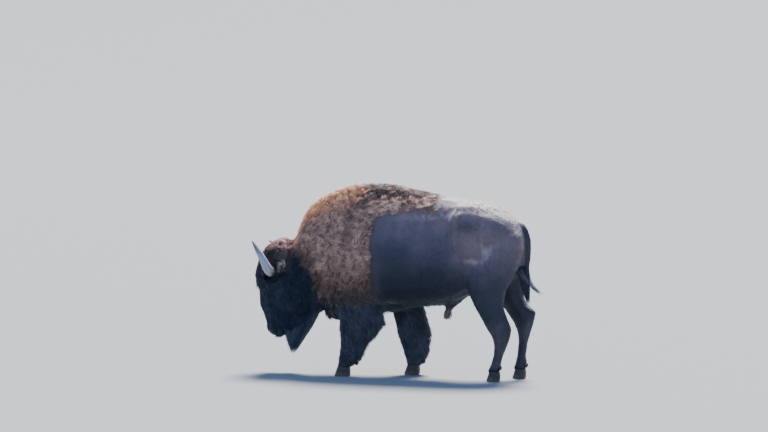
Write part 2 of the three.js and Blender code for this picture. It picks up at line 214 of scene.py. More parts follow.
# %% Kit
class Kit:
    """Builds one material node by node."""

    def __init__(self, name):
        self.material = bpy.data.materials.new(name)
        self.material.use_nodes = True
        self.tree = self.material.node_tree
        self.shader = self.tree.nodes["Principled BSDF"]

    def node(self, kind, settings=None, values=None, output=0):
        made = self.tree.nodes.new(kind)
        for key, value in (settings or {}).items():
            if key == "stops":
                self._stops(made.color_ramp, value)
            else:
                setattr(made, key, value)
        for key, value in (values or {}).items():
            self._feed(made.inputs[key], value)
        return Wire(self, made.outputs[output])

    def _feed(self, socket, value):
        if isinstance(value, Wire):
            self.tree.links.new(value.socket, socket)
        else:
            socket.default_value = value

    @staticmethod
    def _stops(ramp, stops):
        while len(ramp.elements) < len(stops):
            ramp.elements.new(0.5)
        for element, (place, colour) in zip(ramp.elements, stops):
            element.position = place
            element.color = (*colour, 1.0)

    def place(self):
        """Object coordinates, in metres from the model's origin."""
        return self.node("ShaderNodeTexCoord", output="Object")

    def noise(self, scale, detail=3.0, roughness=0.55, vector=None):
        values = {"Scale": scale, "Detail": detail, "Roughness": roughness}
        return self.node("ShaderNodeTexNoise", None, {"Vector": vector or self.place(), **values})

    def stretched(self, scales, turned=(0.0, 0.0, 0.0)):
        """Object coordinates turned, then scaled, so that a pattern runs in strokes."""
        straight = self.node("ShaderNodeMapping", None, {"Vector": self.place(), "Rotation": turned})
        return self.node("ShaderNodeMapping", None, {"Vector": straight, "Scale": scales})

    def attribute(self, name, output="Fac"):
        return self.node("ShaderNodeAttribute", {"attribute_name": name}, output=output)

    def mix(self, factor, first, second, blend="MIX"):
        settings = {"data_type": "RGBA", "blend_type": blend}
        return self.node("ShaderNodeMix", settings, {0: factor, 6: first, 7: second}, output=2)

    def bump(self, height, strength, distance):
        values = {"Height": height, "Strength": strength, "Distance": distance}
        return self.node("ShaderNodeBump", None, values)

    def finish(self, **inputs):
        """Feeds the shader's named sockets; an underscore stands for a space."""
        for key, value in inputs.items():
            self._feed(self.shader.inputs[key.replace("_", " ")], value)
        return self.material


# %% Floor paint
FLOOR_GREY = (0.205, 0.218, 0.240, 1.0)
floor.data.materials.append(Kit("floor_paint").finish(Base_Color=FLOOR_GREY, Roughness=0.9))
print("floor painted:", floor.data.materials[0].name)

# %% [markdown]
# ## The skin
# A hide has no seams where leg meets trunk. The flesh solids could be kept and dressed one by
# one, but each join would show as a crease. So they are copied, joined and remeshed with voxels,
# which melts them into one closed surface. The pockets that hold eyes and horns are plugged
# first. The joins of legs and trunk are then smoothed as muscle would smooth them.

# %% Flesh solids copied and joined
FLESH = ["head", "neck", "shoulders", "barrel", "hindquarters", "tail", "sheath", "scrotum"]
FLESH += [f"{part}_{side}" for part in ("foreleg", "hindleg") for side in SIDES]
HORN_ROOT_OUT = 0.225  # inside this distance from the middle a horn is hidden in the head
VOXEL = 0.0142
WELD = 0.00005


def copy_node(name):
    """A merged copy of one solid, with a mesh of its own."""
    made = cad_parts[name].copy()
    made.data = made.data.copy()
    made.animation_data_clear()
    made.parent = None
    made.matrix_world = Matrix.Identity(4)
    bpy.context.scene.collection.objects.link(made)
    made.hide_render = False
    choose(made)
    bpy.ops.object.mode_set(mode="EDIT")
    bpy.ops.mesh.select_all(action="SELECT")
    bpy.ops.mesh.remove_doubles(threshold=WELD)
    bpy.ops.object.mode_set(mode="OBJECT")
    return made


def cut_off(piece, point, outward):
    """Cuts away what lies beyond a plane and closes the cut."""
    choose(piece)
    bpy.ops.object.mode_set(mode="EDIT")
    bpy.ops.mesh.select_all(action="SELECT")
    bpy.ops.mesh.bisect(plane_co=point, plane_no=outward, clear_outer=True, use_fill=True)
    bpy.ops.object.mode_set(mode="OBJECT")
    return piece


def horn_root(side):
    """The part of a horn that lies inside the head, to plug its pocket."""
    out = SIDES[side]
    return cut_off(copy_node(f"horn_{side}"), (0, out * HORN_ROOT_OUT, 0), (0, out, 0))


JAW_POINT = (-1.075, 0.0, 0.352)  # under the chin; all that hangs below this plane is beard
JAW_OUTWARD = (0.56, 0.0, -0.83)

parts = [copy_node(name) for name in FLESH]
for name in ("head", "neck"):
    cut_off(parts[FLESH.index(name)], JAW_POINT, JAW_OUTWARD)
parts += [copy_node(f"eye_{side}") for side in SIDES]
parts += [horn_root(side) for side in SIDES]
choose(*parts)
bpy.ops.object.join()
skin = bpy.context.object
skin.name = "skin"
skin.data.materials.clear()
print("flesh joined:", len(skin.data.polygons), "faces")


# %% Remesh and smooth
def add_modifier(piece, kind, **settings):
    """Adds a modifier, sets it and applies it."""
    choose(piece)
    modifier = piece.modifiers.new(kind.lower(), kind)
    for key, value in settings.items():
        setattr(modifier, key, value)
    bpy.ops.object.modifier_apply(modifier=modifier.name)


SMOOTH_STEPS = 7
SMOOTH_ABOVE = 0.13  # below this height the feet are thin, so they aren't smoothed
add_modifier(skin, "REMESH", mode="VOXEL", voxel_size=VOXEL)
group = skin.vertex_groups.new(name="soft")
soft = [v.index for v in skin.data.vertices if v.co.z > SMOOTH_ABOVE]
group.add(soft, 1.0, "REPLACE")
add_modifier(skin, "SMOOTH", factor=0.5, iterations=SMOOTH_STEPS, vertex_group="soft")
skin.vertex_groups.clear()
print("skin:", len(skin.data.polygons), "faces")


# %% [markdown]
# ## Sums on arrays of points
# Everything that follows is worked out for thousands of points at once, so it is written with
# numpy: soft steps between two values, smooth noise, and soft mounds. Both sides of the body are
# alike, so most functions read the distance out from the middle instead of y.


# %% Steps, noise and mounds
def step(low, high, value):
    """0 below `low`, 1 above `high`, and a soft ramp between; works downwards too."""
    t = np.clip((value - low) / (high - low), 0.0, 1.0)
    return t * t * (3.0 - 2.0 * t)


def band(low, high, soft, value):
    """1 between `low` and `high`, fading over `soft` at both ends."""
    return step(low - soft, low, value) * (1.0 - step(high, high + soft, value))


def noise(points, size, seed=0):
    """Smooth noise from -1 to 1 with lumps of about this size in metres."""
    grid = points / size + 100.0
    cell = np.floor(grid).astype(np.int64)
    part = grid - cell
    part = part * part * (3.0 - 2.0 * part)
    total = np.zeros(len(points))
    for corner in np.ndindex(2, 2, 2):
        at = cell + np.array(corner)
        key = at[:, 0] * 374761393 + at[:, 1] * 668265263 + at[:, 2] * 2147483647 + seed * 974711
        key = (key ^ (key >> 13)) * 1274126177
        value = ((key ^ (key >> 16)) & 0xFFFF) / 32767.5 - 1.0
        weight = np.prod(np.where(np.array(corner) == 1, part, 1.0 - part), axis=1)
        total += value * weight
    return total


def mound(points, centre, radii):
    """1 at the centre, falling off softly; centre is given on the left side and mirrored."""
    folded = np.abs(points[:, 1])
    away = np.stack([points[:, 0], folded, points[:, 2]], axis=1) - np.array(centre)
    return np.exp(-np.sum((away / np.array(radii)) ** 2, axis=1))


def ridge(points, start, end, radius):
    """1 along a line on either flank, given by x and z of its ends, falling off within a radius."""
    start, line = np.array(start), np.array(end) - np.array(start)
    flat = points[:, [0, 2]] - start
    along = np.clip(flat @ line / (line @ line), 0.0, 1.0)
    away = np.linalg.norm(flat - along[:, None] * line, axis=1)
    return np.exp(-((away / radius) ** 2)) * (np.abs(points[:, 1]) > 0.12)


def unit(vectors):
    return vectors / np.maximum(np.linalg.norm(vectors, axis=1, keepdims=True), 1e-9)


# %% Meshes as arrays
def read_points(piece):
    found = np.empty(len(piece.data.vertices) * 3)
    piece.data.vertices.foreach_get("co", found)
    return found.reshape(-1, 3)


def read_normals(piece):
    found = np.empty(len(piece.data.vertices) * 3)
    piece.data.vertex_normals.foreach_get("vector", found)
    return found.reshape(-1, 3)


def write_points(piece, points):
    piece.data.vertices.foreach_set("co", points.ravel())
    piece.data.update()


# %% [markdown]
# ## Finer faces where the head needs them
# Lids, nostrils and lips are a few millimetres wide. A fine remesh of the whole animal would
# have millions of faces, so only the face is divided once more, muzzle and eyes twice, and the
# lids three times.

# %% Landmarks
def side_of(points):
    return np.abs(points[:, 1])


def middle_of(name):
    low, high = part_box(name)
    return np.array((low + high) / 2)


def outwards(place):
    """A place on the left side with its distance out from the middle instead of y."""
    return np.array([place[0], abs(place[1]), place[2]])


EYE = {side: middle_of(f"eye_{side}") for side in SIDES}
EYE_AT = outwards(EYE["left"])
EYE_RADIUS = (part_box("eye_left")[1].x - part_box("eye_left")[0].x) / 2
FACE_X, CHIN_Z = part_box("head")[0].x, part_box("head")[0].z
NOSTRIL_AT = np.array([FACE_X + 0.128, 0.052, CHIN_Z + 0.085])
MOUTH_Z = CHIN_Z + 0.052
EAR_AT = outwards(middle_of("ear_left"))
EAR_ROOT_OUT = 0.225
RING_DEPTH = 0.004


def first_ring(points):
    """The middle of the innermost ring of a horn's points, where the horn starts."""
    out = side_of(points)
    return points[out < out.min() + RING_DEPTH].mean(axis=0)


def horn_base(side):
    return first_ring(np.array([v.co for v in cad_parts[f"horn_{side}"].data.vertices]))


HORN_BASE = {side: horn_base(side) for side in SIDES}
print("horn from", HORN_BASE["left"].round(3))
print("eye", EYE_AT.round(3), "radius", round(EYE_RADIUS, 4), "nostril", NOSTRIL_AT.round(3))


# %% Divide the faces near the landmarks
def divide_near(piece, wanted):
    """Divides the faces whose middle meets the test once."""
    middles = np.empty(len(piece.data.polygons) * 3)
    piece.data.polygons.foreach_get("center", middles)
    chosen = wanted(middles.reshape(-1, 3))
    choose(piece)
    bpy.ops.object.mode_set(mode="EDIT")
    bpy.ops.mesh.select_mode(type="FACE")
    bpy.ops.mesh.select_all(action="DESELECT")
    bpy.ops.object.mode_set(mode="OBJECT")
    piece.data.polygons.foreach_set("select", chosen)
    bpy.ops.object.mode_set(mode="EDIT")
    bpy.ops.mesh.subdivide(number_cuts=1, smoothness=0.6)
    bpy.ops.object.mode_set(mode="OBJECT")
    return int(chosen.sum())


def near_face(middles):
    below_brow = middles[:, 2] < EYE_AT[2] + 0.09
    return (middles[:, 0] < FACE_X + 0.36) & below_brow


def near_details(middles):
    muzzle = (middles[:, 2] < CHIN_Z + 0.16) & (middles[:, 0] < FACE_X + 0.25)
    eye = mound(middles, EYE_AT, (0.075, 0.2, 0.075)) > 0.35
    return muzzle | eye


def near_lids(middles):
    return mound(middles, EYE_AT, (0.045, 0.2, 0.045)) > 0.4


print("divided:", divide_near(skin, near_face), divide_near(skin, near_details))
print("divided at the lids:", divide_near(skin, near_lids))
add_modifier(skin, "SMOOTH", factor=0.5, iterations=2)

# %% [markdown]
# ## Bones and muscles under the skin
# The remeshed surface is smooth all over. A walking bull shows its hip bones, the hollow of the
# flank in front of them, the folds at stifle and elbow, and the tendon above the hock. They
# could be sculpted with brushes. Here each is a soft mound or dent with a place, a reach and a
# height, so both sides match and any of them can be changed by one number.

# %% Mounds and dents
FORMS = [
    ((0.585, 0.27, 1.49), (0.05, 0.10, 0.07), 0.026),  # hip bone
    ((0.45, 0.31, 1.38), (0.10, 0.14, 0.15), -0.020),  # hollow of the flank
    ((0.66, 0.27, 0.79), (0.07, 0.12, 0.07), 0.014),  # fold of the flank
    ((0.78, 0.29, 1.12), (0.13, 0.14, 0.17), 0.010),  # thigh muscle
    ((0.98, 0.27, 1.18), (0.05, 0.12, 0.20), -0.009),  # groove behind it
    ((1.14, 0.13, 1.33), (0.06, 0.07, 0.07), 0.014),  # pin bone
    ((0.10, 0.33, 1.05), (0.16, 0.14, 0.30), 0.010),  # ribs
    ((-0.13, 0.31, 0.72), (0.08, 0.12, 0.08), 0.012),  # elbow
    ((-0.16, 0.34, 1.05), (0.05, 0.14, 0.36), -0.014),  # behind the shoulder
    ((-0.42, 0.33, 1.00), (0.16, 0.14, 0.26), 0.012),  # shoulder
    ((EYE_AT[0] + 0.012, 0.19, EYE_AT[2] + 0.050), (0.06, 0.08, 0.028), 0.017),  # brow
    ((EYE_AT[0] + 0.115, 0.17, EYE_AT[2] - 0.13), (0.07, 0.08, 0.09), 0.010),  # cheek
    ((EYE_AT[0] - 0.02, 0.13, EYE_AT[2] - 0.12), (0.045, 0.06, 0.06), -0.010),  # below the eye
]
HIP_RIDGE = (0.600, 1.600), (0.535, 1.475)  # front edge of the hip bone, from top to bottom
HOCKS = {"left": (1.105, 0.485), "right": (1.245, 0.61)}  # x and z of the point of the hock
TENDON_RISE = 0.105  # the hollow beside the tendon lies this far above the hock's point
TENDON_AHEAD = 0.052  # and this far ahead of it
TENDON_REACH = (0.022, 0.2, 0.07)
TENDON_DEPTH = 0.012
RIDGE_HEIGHT, RIDGE_REACH = 0.010, 0.024

points, normals = read_points(skin), read_normals(skin)
lift = sum(height * mound(points, centre, radii) for centre, radii, height in FORMS)
lift += RIDGE_HEIGHT * ridge(points, *HIP_RIDGE, RIDGE_REACH)
for side, sign in SIDES.items():
    x, z = HOCKS[side]
    hollow = mound(points, (x - TENDON_AHEAD, 0.18, z + TENDON_RISE), TENDON_REACH)
    lift -= TENDON_DEPTH * hollow * (np.sign(points[:, 1]) == sign) * np.abs(normals[:, 1])
write_points(skin, points + normals * lift[:, None])
print("forms:", len(FORMS), "highest", round(float(lift.max()), 3))

# %% [markdown]
# ## Lids, nostrils and mouth
# The lids hug the eyeball. Round the opening, skin points are set a lid's thickness outside the
# ball, and points inside the opening go behind it. The opening is an almond that runs from the
# inner corner, which is towards the nose, up and back to the outer corner.

# %% Lids
LID_REACH = 0.052
LID_THICKNESS = 0.0035
LID_RIM = 0.0035  # the edge of the lids stands up by this much
LID_FOLD = 0.003  # and a fold round them is this deep
BEHIND_LIDS = 0.006  # in the opening the skin lies this far behind the front of the ball
OPENING = (0.0195, 0.0115)  # half length and half height
EYE_SLANT = math.radians(48)
EYE_LOOK = unit(np.array([[-0.38, 0.92, -0.04]]))[0]


def eye_axes(sign):
    """Outward, along the opening and across it, for the eye on the side with this sign."""
    out = EYE_LOOK * np.array([1, sign, 1])
    along = np.array([math.cos(EYE_SLANT), 0.0, math.sin(EYE_SLANT)])
    along = unit((along - out * (along @ out))[None])[0]
    return out, along, np.cross(out, along)


def shape_lids(points, side):
    """Points near one eye, moved so that they form its lids."""
    out, along, across = eye_axes(SIDES[side])
    away = points - EYE[side]
    forward = away @ out
    flat = np.stack([away @ along, away @ across], axis=1)
    reach = np.linalg.norm(flat, axis=1)
    almond = np.abs(flat[:, 0] / OPENING[0]) ** 2 + np.abs(flat[:, 1] / OPENING[1]) ** 1.6
    near = (1.0 - step(LID_REACH * 0.5, LID_REACH, reach)) * (forward > -0.012)
    ball = np.sqrt(np.maximum(EYE_RADIUS**2 - reach**2, 0.0))
    rim = np.exp(-(((almond - 1.25) / 0.5) ** 2)) * LID_RIM
    fold = np.exp(-(((almond - 4.2) / 1.1) ** 2)) * -LID_FOLD
    lid = np.maximum(ball, EYE_RADIUS * 0.25) + LID_THICKNESS + rim + fold
    inside = ball - BEHIND_LIDS
    wanted = inside + (lid - inside) * step(0.75, 1.15, almond)
    return points + (near * (wanted - forward))[:, None] * out


points = read_points(skin)
for side in SIDES:
    points = shape_lids(points, side)
write_points(skin, points)
print("lids round openings", round(2 * OPENING[0], 3), "long")


# %% Nostrils and mouth
NOSTRIL_SIZE = (0.017, 0.012)  # how far it reaches sideways and up
NOSTRIL_DEPTH, NOSTRIL_RIM = 0.020, 0.005
MOUTH_RISE = 0.10  # the mouth's line climbs this much for each metre back
MOUTH_END = FACE_X + 0.26
CLEFT_DEPTH, CLEFT_WIDTH = 0.006, 0.0055
LIP_SWELL, LIP_WIDTH = 0.003, 0.016


def nostril_and_mouth(points):
    """How far each point of the muzzle moves out."""
    out = side_of(points) - NOSTRIL_AT[1]
    x, z = points[:, 0] - NOSTRIL_AT[0], points[:, 2] - NOSTRIL_AT[2]
    comma = (out / NOSTRIL_SIZE[0]) ** 2 + ((z + 0.25 * out) / NOSTRIL_SIZE[1]) ** 2
    front = x < 0.05
    hole = -NOSTRIL_DEPTH * np.exp(-comma) * front
    rim = NOSTRIL_RIM * np.exp(-(((comma - 2.6) / 1.6) ** 2)) * front
    line = MOUTH_Z + MOUTH_RISE * (points[:, 0] - FACE_X - 0.14)
    reach = 1.0 - step(MOUTH_END, MOUTH_END + 0.04, points[:, 0])
    cleft = -CLEFT_DEPTH * np.exp(-(((points[:, 2] - line) / CLEFT_WIDTH) ** 2)) * reach
    lips = LIP_SWELL * np.exp(-(((points[:, 2] - line) / LIP_WIDTH) ** 2)) * reach
    return hole + rim + cleft + lips


normals = read_normals(skin)
write_points(skin, points + normals * nostril_and_mouth(points)[:, None])
print("head shaped:", len(skin.data.vertices), "points")

# %% [markdown]
# ## Where each kind of coat grows
# A bison's coat falls into clear parts: curled wool on the crown, neck, hump and shoulders down
# to a sharp edge behind the foreleg, long hair on beard and forelegs, and short smooth hair on
# the rest. The parts could be painted by hand as weights. Here each is a soft mask worked out
# from a place, so the same masks can set the coat's depth, its colour, the length of the locks
# and the way they lie, and skin and coat always agree.


# %% How much a mask covers
def print_share(name, mask):
    print(f"{name}: {100 * float(mask(read_points(skin)).mean()):.0f} % of the skin's points")


# %% Head and cape
CAPE_EDGE_HEIGHTS = [0.40, 0.70, 0.95, 1.25, 1.42, 1.50, 1.53, 1.55, 1.565, 1.60, 1.68, 1.80]
CAPE_EDGE = [-0.12, -0.17, -0.21, -0.230, -0.225, -0.19, -0.12, 0.02, 0.19, 0.31, 0.40, 0.50]
HEAD_TOP_X = -0.940  # where the head meets the neck at the height of the eyes' brow


def head_mask(points):
    """1 on the head, 0 behind a slanting line that runs through the cheek and the poll."""
    return step(0.03, -0.03, points[:, 0] - HEAD_TOP_X + 0.11 * (points[:, 2] - 0.9))


def cape_inset(points):
    """Distance inside the cape's ragged edge; negative behind it."""
    heights, edges = np.array(CAPE_EDGE_HEIGHTS), np.array(CAPE_EDGE)
    edge = np.interp(points[:, 2], heights, edges)
    middles = (heights[1:] + heights[:-1]) / 2
    slope = np.interp(points[:, 2], middles, np.diff(edges) / np.diff(heights))
    ragged = 0.020 * noise(points, 0.07, 3) + 0.012 * noise(points, 0.025, 4)
    ragged = ragged * (1.0 + step(0.3, 3.0, np.abs(slope)))
    return (edge - points[:, 0]) / np.sqrt(1.0 + slope**2) + ragged


def cape_mask(points):
    """1 on the wool of hump, shoulder and neck, fading to 0 behind its edge."""
    return step(-0.032, 0.012, cape_inset(points))


print_share("head", head_mask)
print_share("cape", cape_mask)

# %% Curls along the cape's edge
CURL_ARCH_X = [-0.30, -0.25, -0.12, 0.05, 0.20, 0.34]  # an arch of curls, painted pale as a highlight, starts above this
CURL_ARCH_Z = [1.44, 1.520, 1.545, 1.550, 1.560, 1.590]
CURL_ARCH_HIGH = 0.090


def curl_band(points):
    """1 on the curls that stand up along the cape's edge below the back, painted pale as a highlight.
    """
    low = np.interp(points[:, 0], CURL_ARCH_X, CURL_ARCH_Z)
    above = points[:, 2] - low + 0.012 * noise(points, 0.05, 19)
    ends = step(-0.31, -0.24, points[:, 0]) * step(0.40, 0.30, points[:, 0])
    return band(0.010, CURL_ARCH_HIGH, 0.015, above) * ends * cape_mask(points)


print_share("curls", curl_band)

# %% Dark throat and neck
DARK_NECK_HEIGHTS = [0.53, 0.744, 0.984, 1.10, 1.20]  # the neck is dark ahead of this edge
DARK_NECK_EDGE = [-0.565, -0.690, -0.780, -0.900, -1.060]
NECK_SHADE_WIDTH = 0.20  # brown darkens to black over this width behind that edge


def dark_neck(points):
    """1 on the near-black wool of throat and lower neck."""
    edge = np.interp(points[:, 2], DARK_NECK_HEIGHTS, DARK_NECK_EDGE)
    return step(0.07, -0.07, points[:, 0] - edge + 0.04 * noise(points, 0.11, 11))


def neck_shade(points):
    """Fades from 1 at the edge of the dark neck to 0 on the brown wool behind it."""
    edge = np.interp(points[:, 2], DARK_NECK_HEIGHTS, DARK_NECK_EDGE)
    return step(NECK_SHADE_WIDTH, 0.0, points[:, 0] - edge + 0.07 * noise(points, 0.07, 16))


print_share("dark neck", dark_neck)

# %% Forelegs
FORELEG_TOP = 0.66
FORELEG_FRONT = {"left": -0.56, "right": -0.20}
FORELEG_REAR = {"left": 0.01, "right": 0.33}


def foreleg_mask(points):
    """1 on both forelegs, fading out at the elbow."""
    low = step(FORELEG_TOP + 0.10, FORELEG_TOP - 0.06, points[:, 2])
    found = np.zeros(len(points))
    for side, sign in SIDES.items():
        mine = np.sign(points[:, 1]) == sign
        found += mine * band(FORELEG_FRONT[side], FORELEG_REAR[side], 0.02, points[:, 0])
    return low * found * (side_of(points) > 0.03)


print_share("forelegs", foreleg_mask)


# %% Parts of the head
def mop_mask(points):
    """1 on the woolly crown and the forelock."""
    crown = step(0.93, 1.06, points[:, 2] + 0.03 * noise(points, 0.05, 6))
    lock = step(0.80, 0.835, points[:, 2]) * step(FACE_X + 0.16, FACE_X + 0.09, points[:, 0])
    return head_mask(points) * np.maximum(crown, lock)


def face_mask(points):
    """1 on the short-haired front of the face below the forelock."""
    edge = FACE_X + 0.14 + 0.05 * step(0.75, 0.45, points[:, 2])
    front = step(edge + 0.04, edge - 0.02, points[:, 0])
    return head_mask(points) * front * (1.0 - mop_mask(points))


def muzzle_mask(points):
    """1 on the bare muzzle and lips."""
    top = CHIN_Z + 0.115 - 0.30 * np.maximum(side_of(points) - 0.06, 0.0)
    return step(top + 0.01, top - 0.01, points[:, 2]) * step(FACE_X + 0.23, FACE_X + 0.20, points[:, 0])


def ear_mask(points):
    """1 on the ears, which stand out from the head."""
    near = mound(points, EAR_AT, (0.075, 0.16, 0.075)) > 0.2
    return 1.0 * near * (side_of(points) > EAR_ROOT_OUT)


for name, mask in (("crown and forelock", mop_mask), ("face", face_mask), ("muzzle", muzzle_mask)):
    print_share(name, mask)

# %% [markdown]
# ## Room for the coat
# The solid model ends at the tips of the hair, so the skin has to lie deeper: a few millimetres
# under the short coat, three centimetres under the wool, and more behind the forelegs, where
# the long hair hangs. The depth is averaged along the skin before the skin is drawn in, because
# a sudden step would show as a fold.

# %% Coat depth
SHORT_DEPTH = 0.005
CAPE_STEP = 0.014  # the wool stands proud of the flank just behind its edge
CAPE_STEP_FADE = 0.22
WOOL_DEPTH, HUMP_LESS = 0.028, 0.006  # the wool is a little shorter on top of the hump
LEG_DEPTH, LEG_REAR_MORE = 0.018, 0.034  # the forelegs' hair is longest behind
ANKLE_DEPTH = 0.006
CHEEK_DEPTH, CROWN_DEPTH, FACE_DEPTH = 0.022, 0.038, 0.006
DEPTH_ROUNDS = 24


def rise_to(first, mask, second):
    """Goes from the first value to the second where the mask rises."""
    return first + mask * (second - first)


def coat_depth(points, normals):
    """How far the skin lies inside the tips of the coat, in metres."""
    z, out = points[:, 2], side_of(points)
    inset = cape_inset(points)
    behind_edge = np.exp(np.minimum(inset, 0.0) / CAPE_STEP_FADE) * step(0.03, 0.2, out)
    flank = SHORT_DEPTH + CAPE_STEP * behind_edge
    wool = WOOL_DEPTH - HUMP_LESS * step(1.45, 1.65, z)
    depth = rise_to(flank, step(-0.03, 0.03, inset), wool)
    rear = np.clip(normals[:, 0], 0, 1)
    hair = (LEG_DEPTH + LEG_REAR_MORE * rear) * step(0.12, 0.30, z) + ANKLE_DEPTH
    depth = rise_to(depth, foreleg_mask(points), hair)
    on_head = rise_to(CHEEK_DEPTH, mop_mask(points), CROWN_DEPTH)
    on_head = rise_to(on_head, face_mask(points), FACE_DEPTH)
    depth = rise_to(depth, head_mask(points), on_head)
    depth = depth * (1.0 - muzzle_mask(points)) * (1.0 - 0.85 * step(0.14, 0.105, z))
    eye = mound(points, EYE_AT, (0.085, 0.25, 0.085))
    return depth * (1.0 - 0.97 * step(0.10, 0.75, eye))


def even_out(piece, values, rounds):
    """Averages a value with its neighbours along the edges, over and over."""
    edges = np.empty(len(piece.data.edges) * 2, dtype=np.int64)
    piece.data.edges.foreach_get("vertices", edges)
    a, b = edges.reshape(-1, 2).T
    count = len(values)
    shared = np.bincount(a, minlength=count) + np.bincount(b, minlength=count)
    for _ in range(rounds):
        total = np.bincount(a, values[b], count) + np.bincount(b, values[a], count)
        values = 0.5 * values + 0.5 * total / np.maximum(shared, 1)
    return values


# %% The skin drawn in
points, normals = read_points(skin), read_normals(skin)
depth = even_out(skin, coat_depth(points, normals), DEPTH_ROUNDS)
write_points(skin, np.clip(points - normals * depth[:, None], LOW + PATH_INSET, HIGH - PATH_INSET))
print("skin drawn in by", round(float(depth.min()), 4), "to", round(float(depth.max()), 4))

# %% [markdown]
# ## Ears
# An ear is a thin cup. The remesh would blur it, so each ear is a copy of its solid that is
# subdivided, hollowed in front and joined to the skin, with its root deep in the wool.

# %% Ear cups
EAR_INSET = 0.0015  # room for the ear's own short hair
CUP_DEPTH, CUP_HALF = 0.011, 0.03
EAR_REACH = [0.18, 0.35]  # the middle of the cup climbs from root to tip
EAR_MIDDLE_Z = [0.982, 1.008]


def ear_cup(side):
    ear = copy_node(f"ear_{side}")
    ear.data.materials.clear()
    add_modifier(ear, "SUBSURF", levels=3, render_levels=3)
    points, normals = read_points(ear), read_normals(ear)
    out = side_of(points)
    across = np.abs(points[:, 2] - np.interp(out, EAR_REACH, EAR_MIDDLE_Z)) / CUP_HALF
    front = np.clip(-normals[:, 0], 0, 1)
    hollow = CUP_DEPTH * front * np.exp(-(across**2)) * step(0.22, 0.26, out)
    write_points(ear, points - normals * EAR_INSET + np.outer(hollow, (1.0, 0.0, 0.0)))
    return ear


ears = [ear_cup(side) for side in SIDES]
choose(skin, *ears)
bpy.ops.object.join()
bpy.ops.object.shade_smooth()
print("skin with ears:", len(skin.data.polygons), "faces")

# %% [markdown]
# ## A map of the skin
# A map lays the skin out flat, so that its colours can be kept as a picture. Marking seams by
# hand would give larger islands, but here nothing is drawn on the map, so the quick automatic
# unwrap is enough. Every lock of the coat later takes a tiny patch of this map at its root.

# %% Unwrap
MAP_NAME = "OFBake"
choose(skin)
skin.data.uv_layers.new(name=MAP_NAME)
bpy.ops.object.mode_set(mode="EDIT")
bpy.ops.mesh.select_all(action="SELECT")
bpy.ops.uv.smart_project(angle_limit=math.radians(66), island_margin=0.002)
bpy.ops.object.mode_set(mode="OBJECT")
print("map:", skin.data.uv_layers[0].name)

# %% [markdown]
# ## Colours of the coat
# The wool of the cape is a warm brown, bleached at the tips. Crown and neck are darker, and the
# face, beard and forelegs are almost black. The short coat is a dark grey-brown with a paler
# thigh. Its darkening towards the belly is painted shade, and its pale back a painted highlight.
# The blue in the dark hair and the short coat is painted sky light. Colours could be painted by
# hand or mixed in the material. Here one function gives the colour of any place on the body, so
# the skin and each lock that grows there take the same one. The colours are linear values.

# %% Palette
# the blue in these colours, most of all in the dark hair and the short coat, is painted sky light
WOOL = (0.640, 0.380, 0.305)
WOOL_SHADE = (0.160, 0.095, 0.082)
WOOL_GOLD_AND_RIM_LIGHT = (1.000, 0.370, 0.200)
WOOL_CURL_HIGHLIGHT = (1.000, 0.550, 0.420)
WOOL_TOP = (0.105, 0.074, 0.076)
WOOL_DARK = (0.034, 0.024, 0.026)
EDGE_BROWN = (0.085, 0.062, 0.066)
CROWN = (0.270, 0.138, 0.142)
FORELOCK = (0.040, 0.030, 0.036)
FACE_PALE = (0.062, 0.066, 0.084)
NIGHT = (0.015, 0.019, 0.027)
BEARD_TONE = (0.096, 0.106, 0.138)
BEARD_REAR = (0.060, 0.070, 0.096)
FORELEG = (0.086, 0.088, 0.104)
BACK_PAINTED_HIGHLIGHT = (0.360, 0.280, 0.265)
PALE = (0.300, 0.245, 0.240)
HIP_PAINTED_HIGHLIGHT = (0.420, 0.360, 0.360)
LEG = (0.024, 0.025, 0.036)
CANNON = (0.085, 0.072, 0.078)
BARE = (0.014, 0.014, 0.017)
EAR_TUFT = (0.016, 0.012, 0.015)
SWITCH = (0.052, 0.050, 0.062)
SHEATH_HAIR = (0.260, 0.180, 0.150)
SHORT_HEIGHTS = [0.72, 0.95, 1.15, 1.35, 1.50]  # painted shade darkens the short coat towards the belly
SHORT = [(0.003, 0.005, 0.010), (0.011, 0.013, 0.025), (0.038, 0.035, 0.054)]
SHORT += [(0.105, 0.084, 0.104), (0.160, 0.120, 0.132)]
print("short coat from", SHORT[0], "at the belly to", SHORT[-1], "at the back")

# %% Places of the markings
# a mark with a single place has its middle and its reach, given on the left side
BACK_X = [0.34, 0.63, 0.79, 0.95, 1.18]  # the back is painted pale above this line, a painted highlight
BACK_Z = [1.585, 1.540, 1.510, 1.465, 1.405]
THIGH_LIFT = 0.24  # the hindquarters take the painted shade of a flank this much higher
PATCH_HIGH = (0.885, 0.30, 1.19), (0.060, 0.25, 0.095)
PATCH_LOW = (0.765, 0.30, 1.10), (0.100, 0.25, 0.035)
SHOULDER_FURROW = (-0.40, 1.60), (-0.43, 1.20)  # x and z of both ends
SHEATH_END = (0.475, 0.0, 0.580), (0.060, 0.20, 0.055)
SHADE_AND_SMUDGE_MARKS = [  # place, reach and strength of dark marks in the short coat: painted shade, and one real smudge
    (((0.685, 0.30, 1.415), (0.100, 0.30, 0.055)), 0.55),  # painted shade in the hollow under the hip bone
    (((0.010, 0.35, 1.100), (0.030, 0.30, 0.060)), 0.60),  # smudge on the ribs
    (((0.590, 0.30, 0.815), (0.110, 0.30, 0.060)), 0.85),  # painted shade in the fold in front of the thigh
    (((0.250, 0.20, 0.700), (0.550, 0.45, 0.100)), 0.95),  # painted shade under the belly
]
TAIL_HEIGHTS = [0.95, 1.20, 1.30, 1.40, 1.46]  # the tail hangs behind this line
TAIL_EDGE = [1.185, 1.200, 1.185, 1.150, 1.110]
print("dark marks:", len(SHADE_AND_SMUDGE_MARKS))


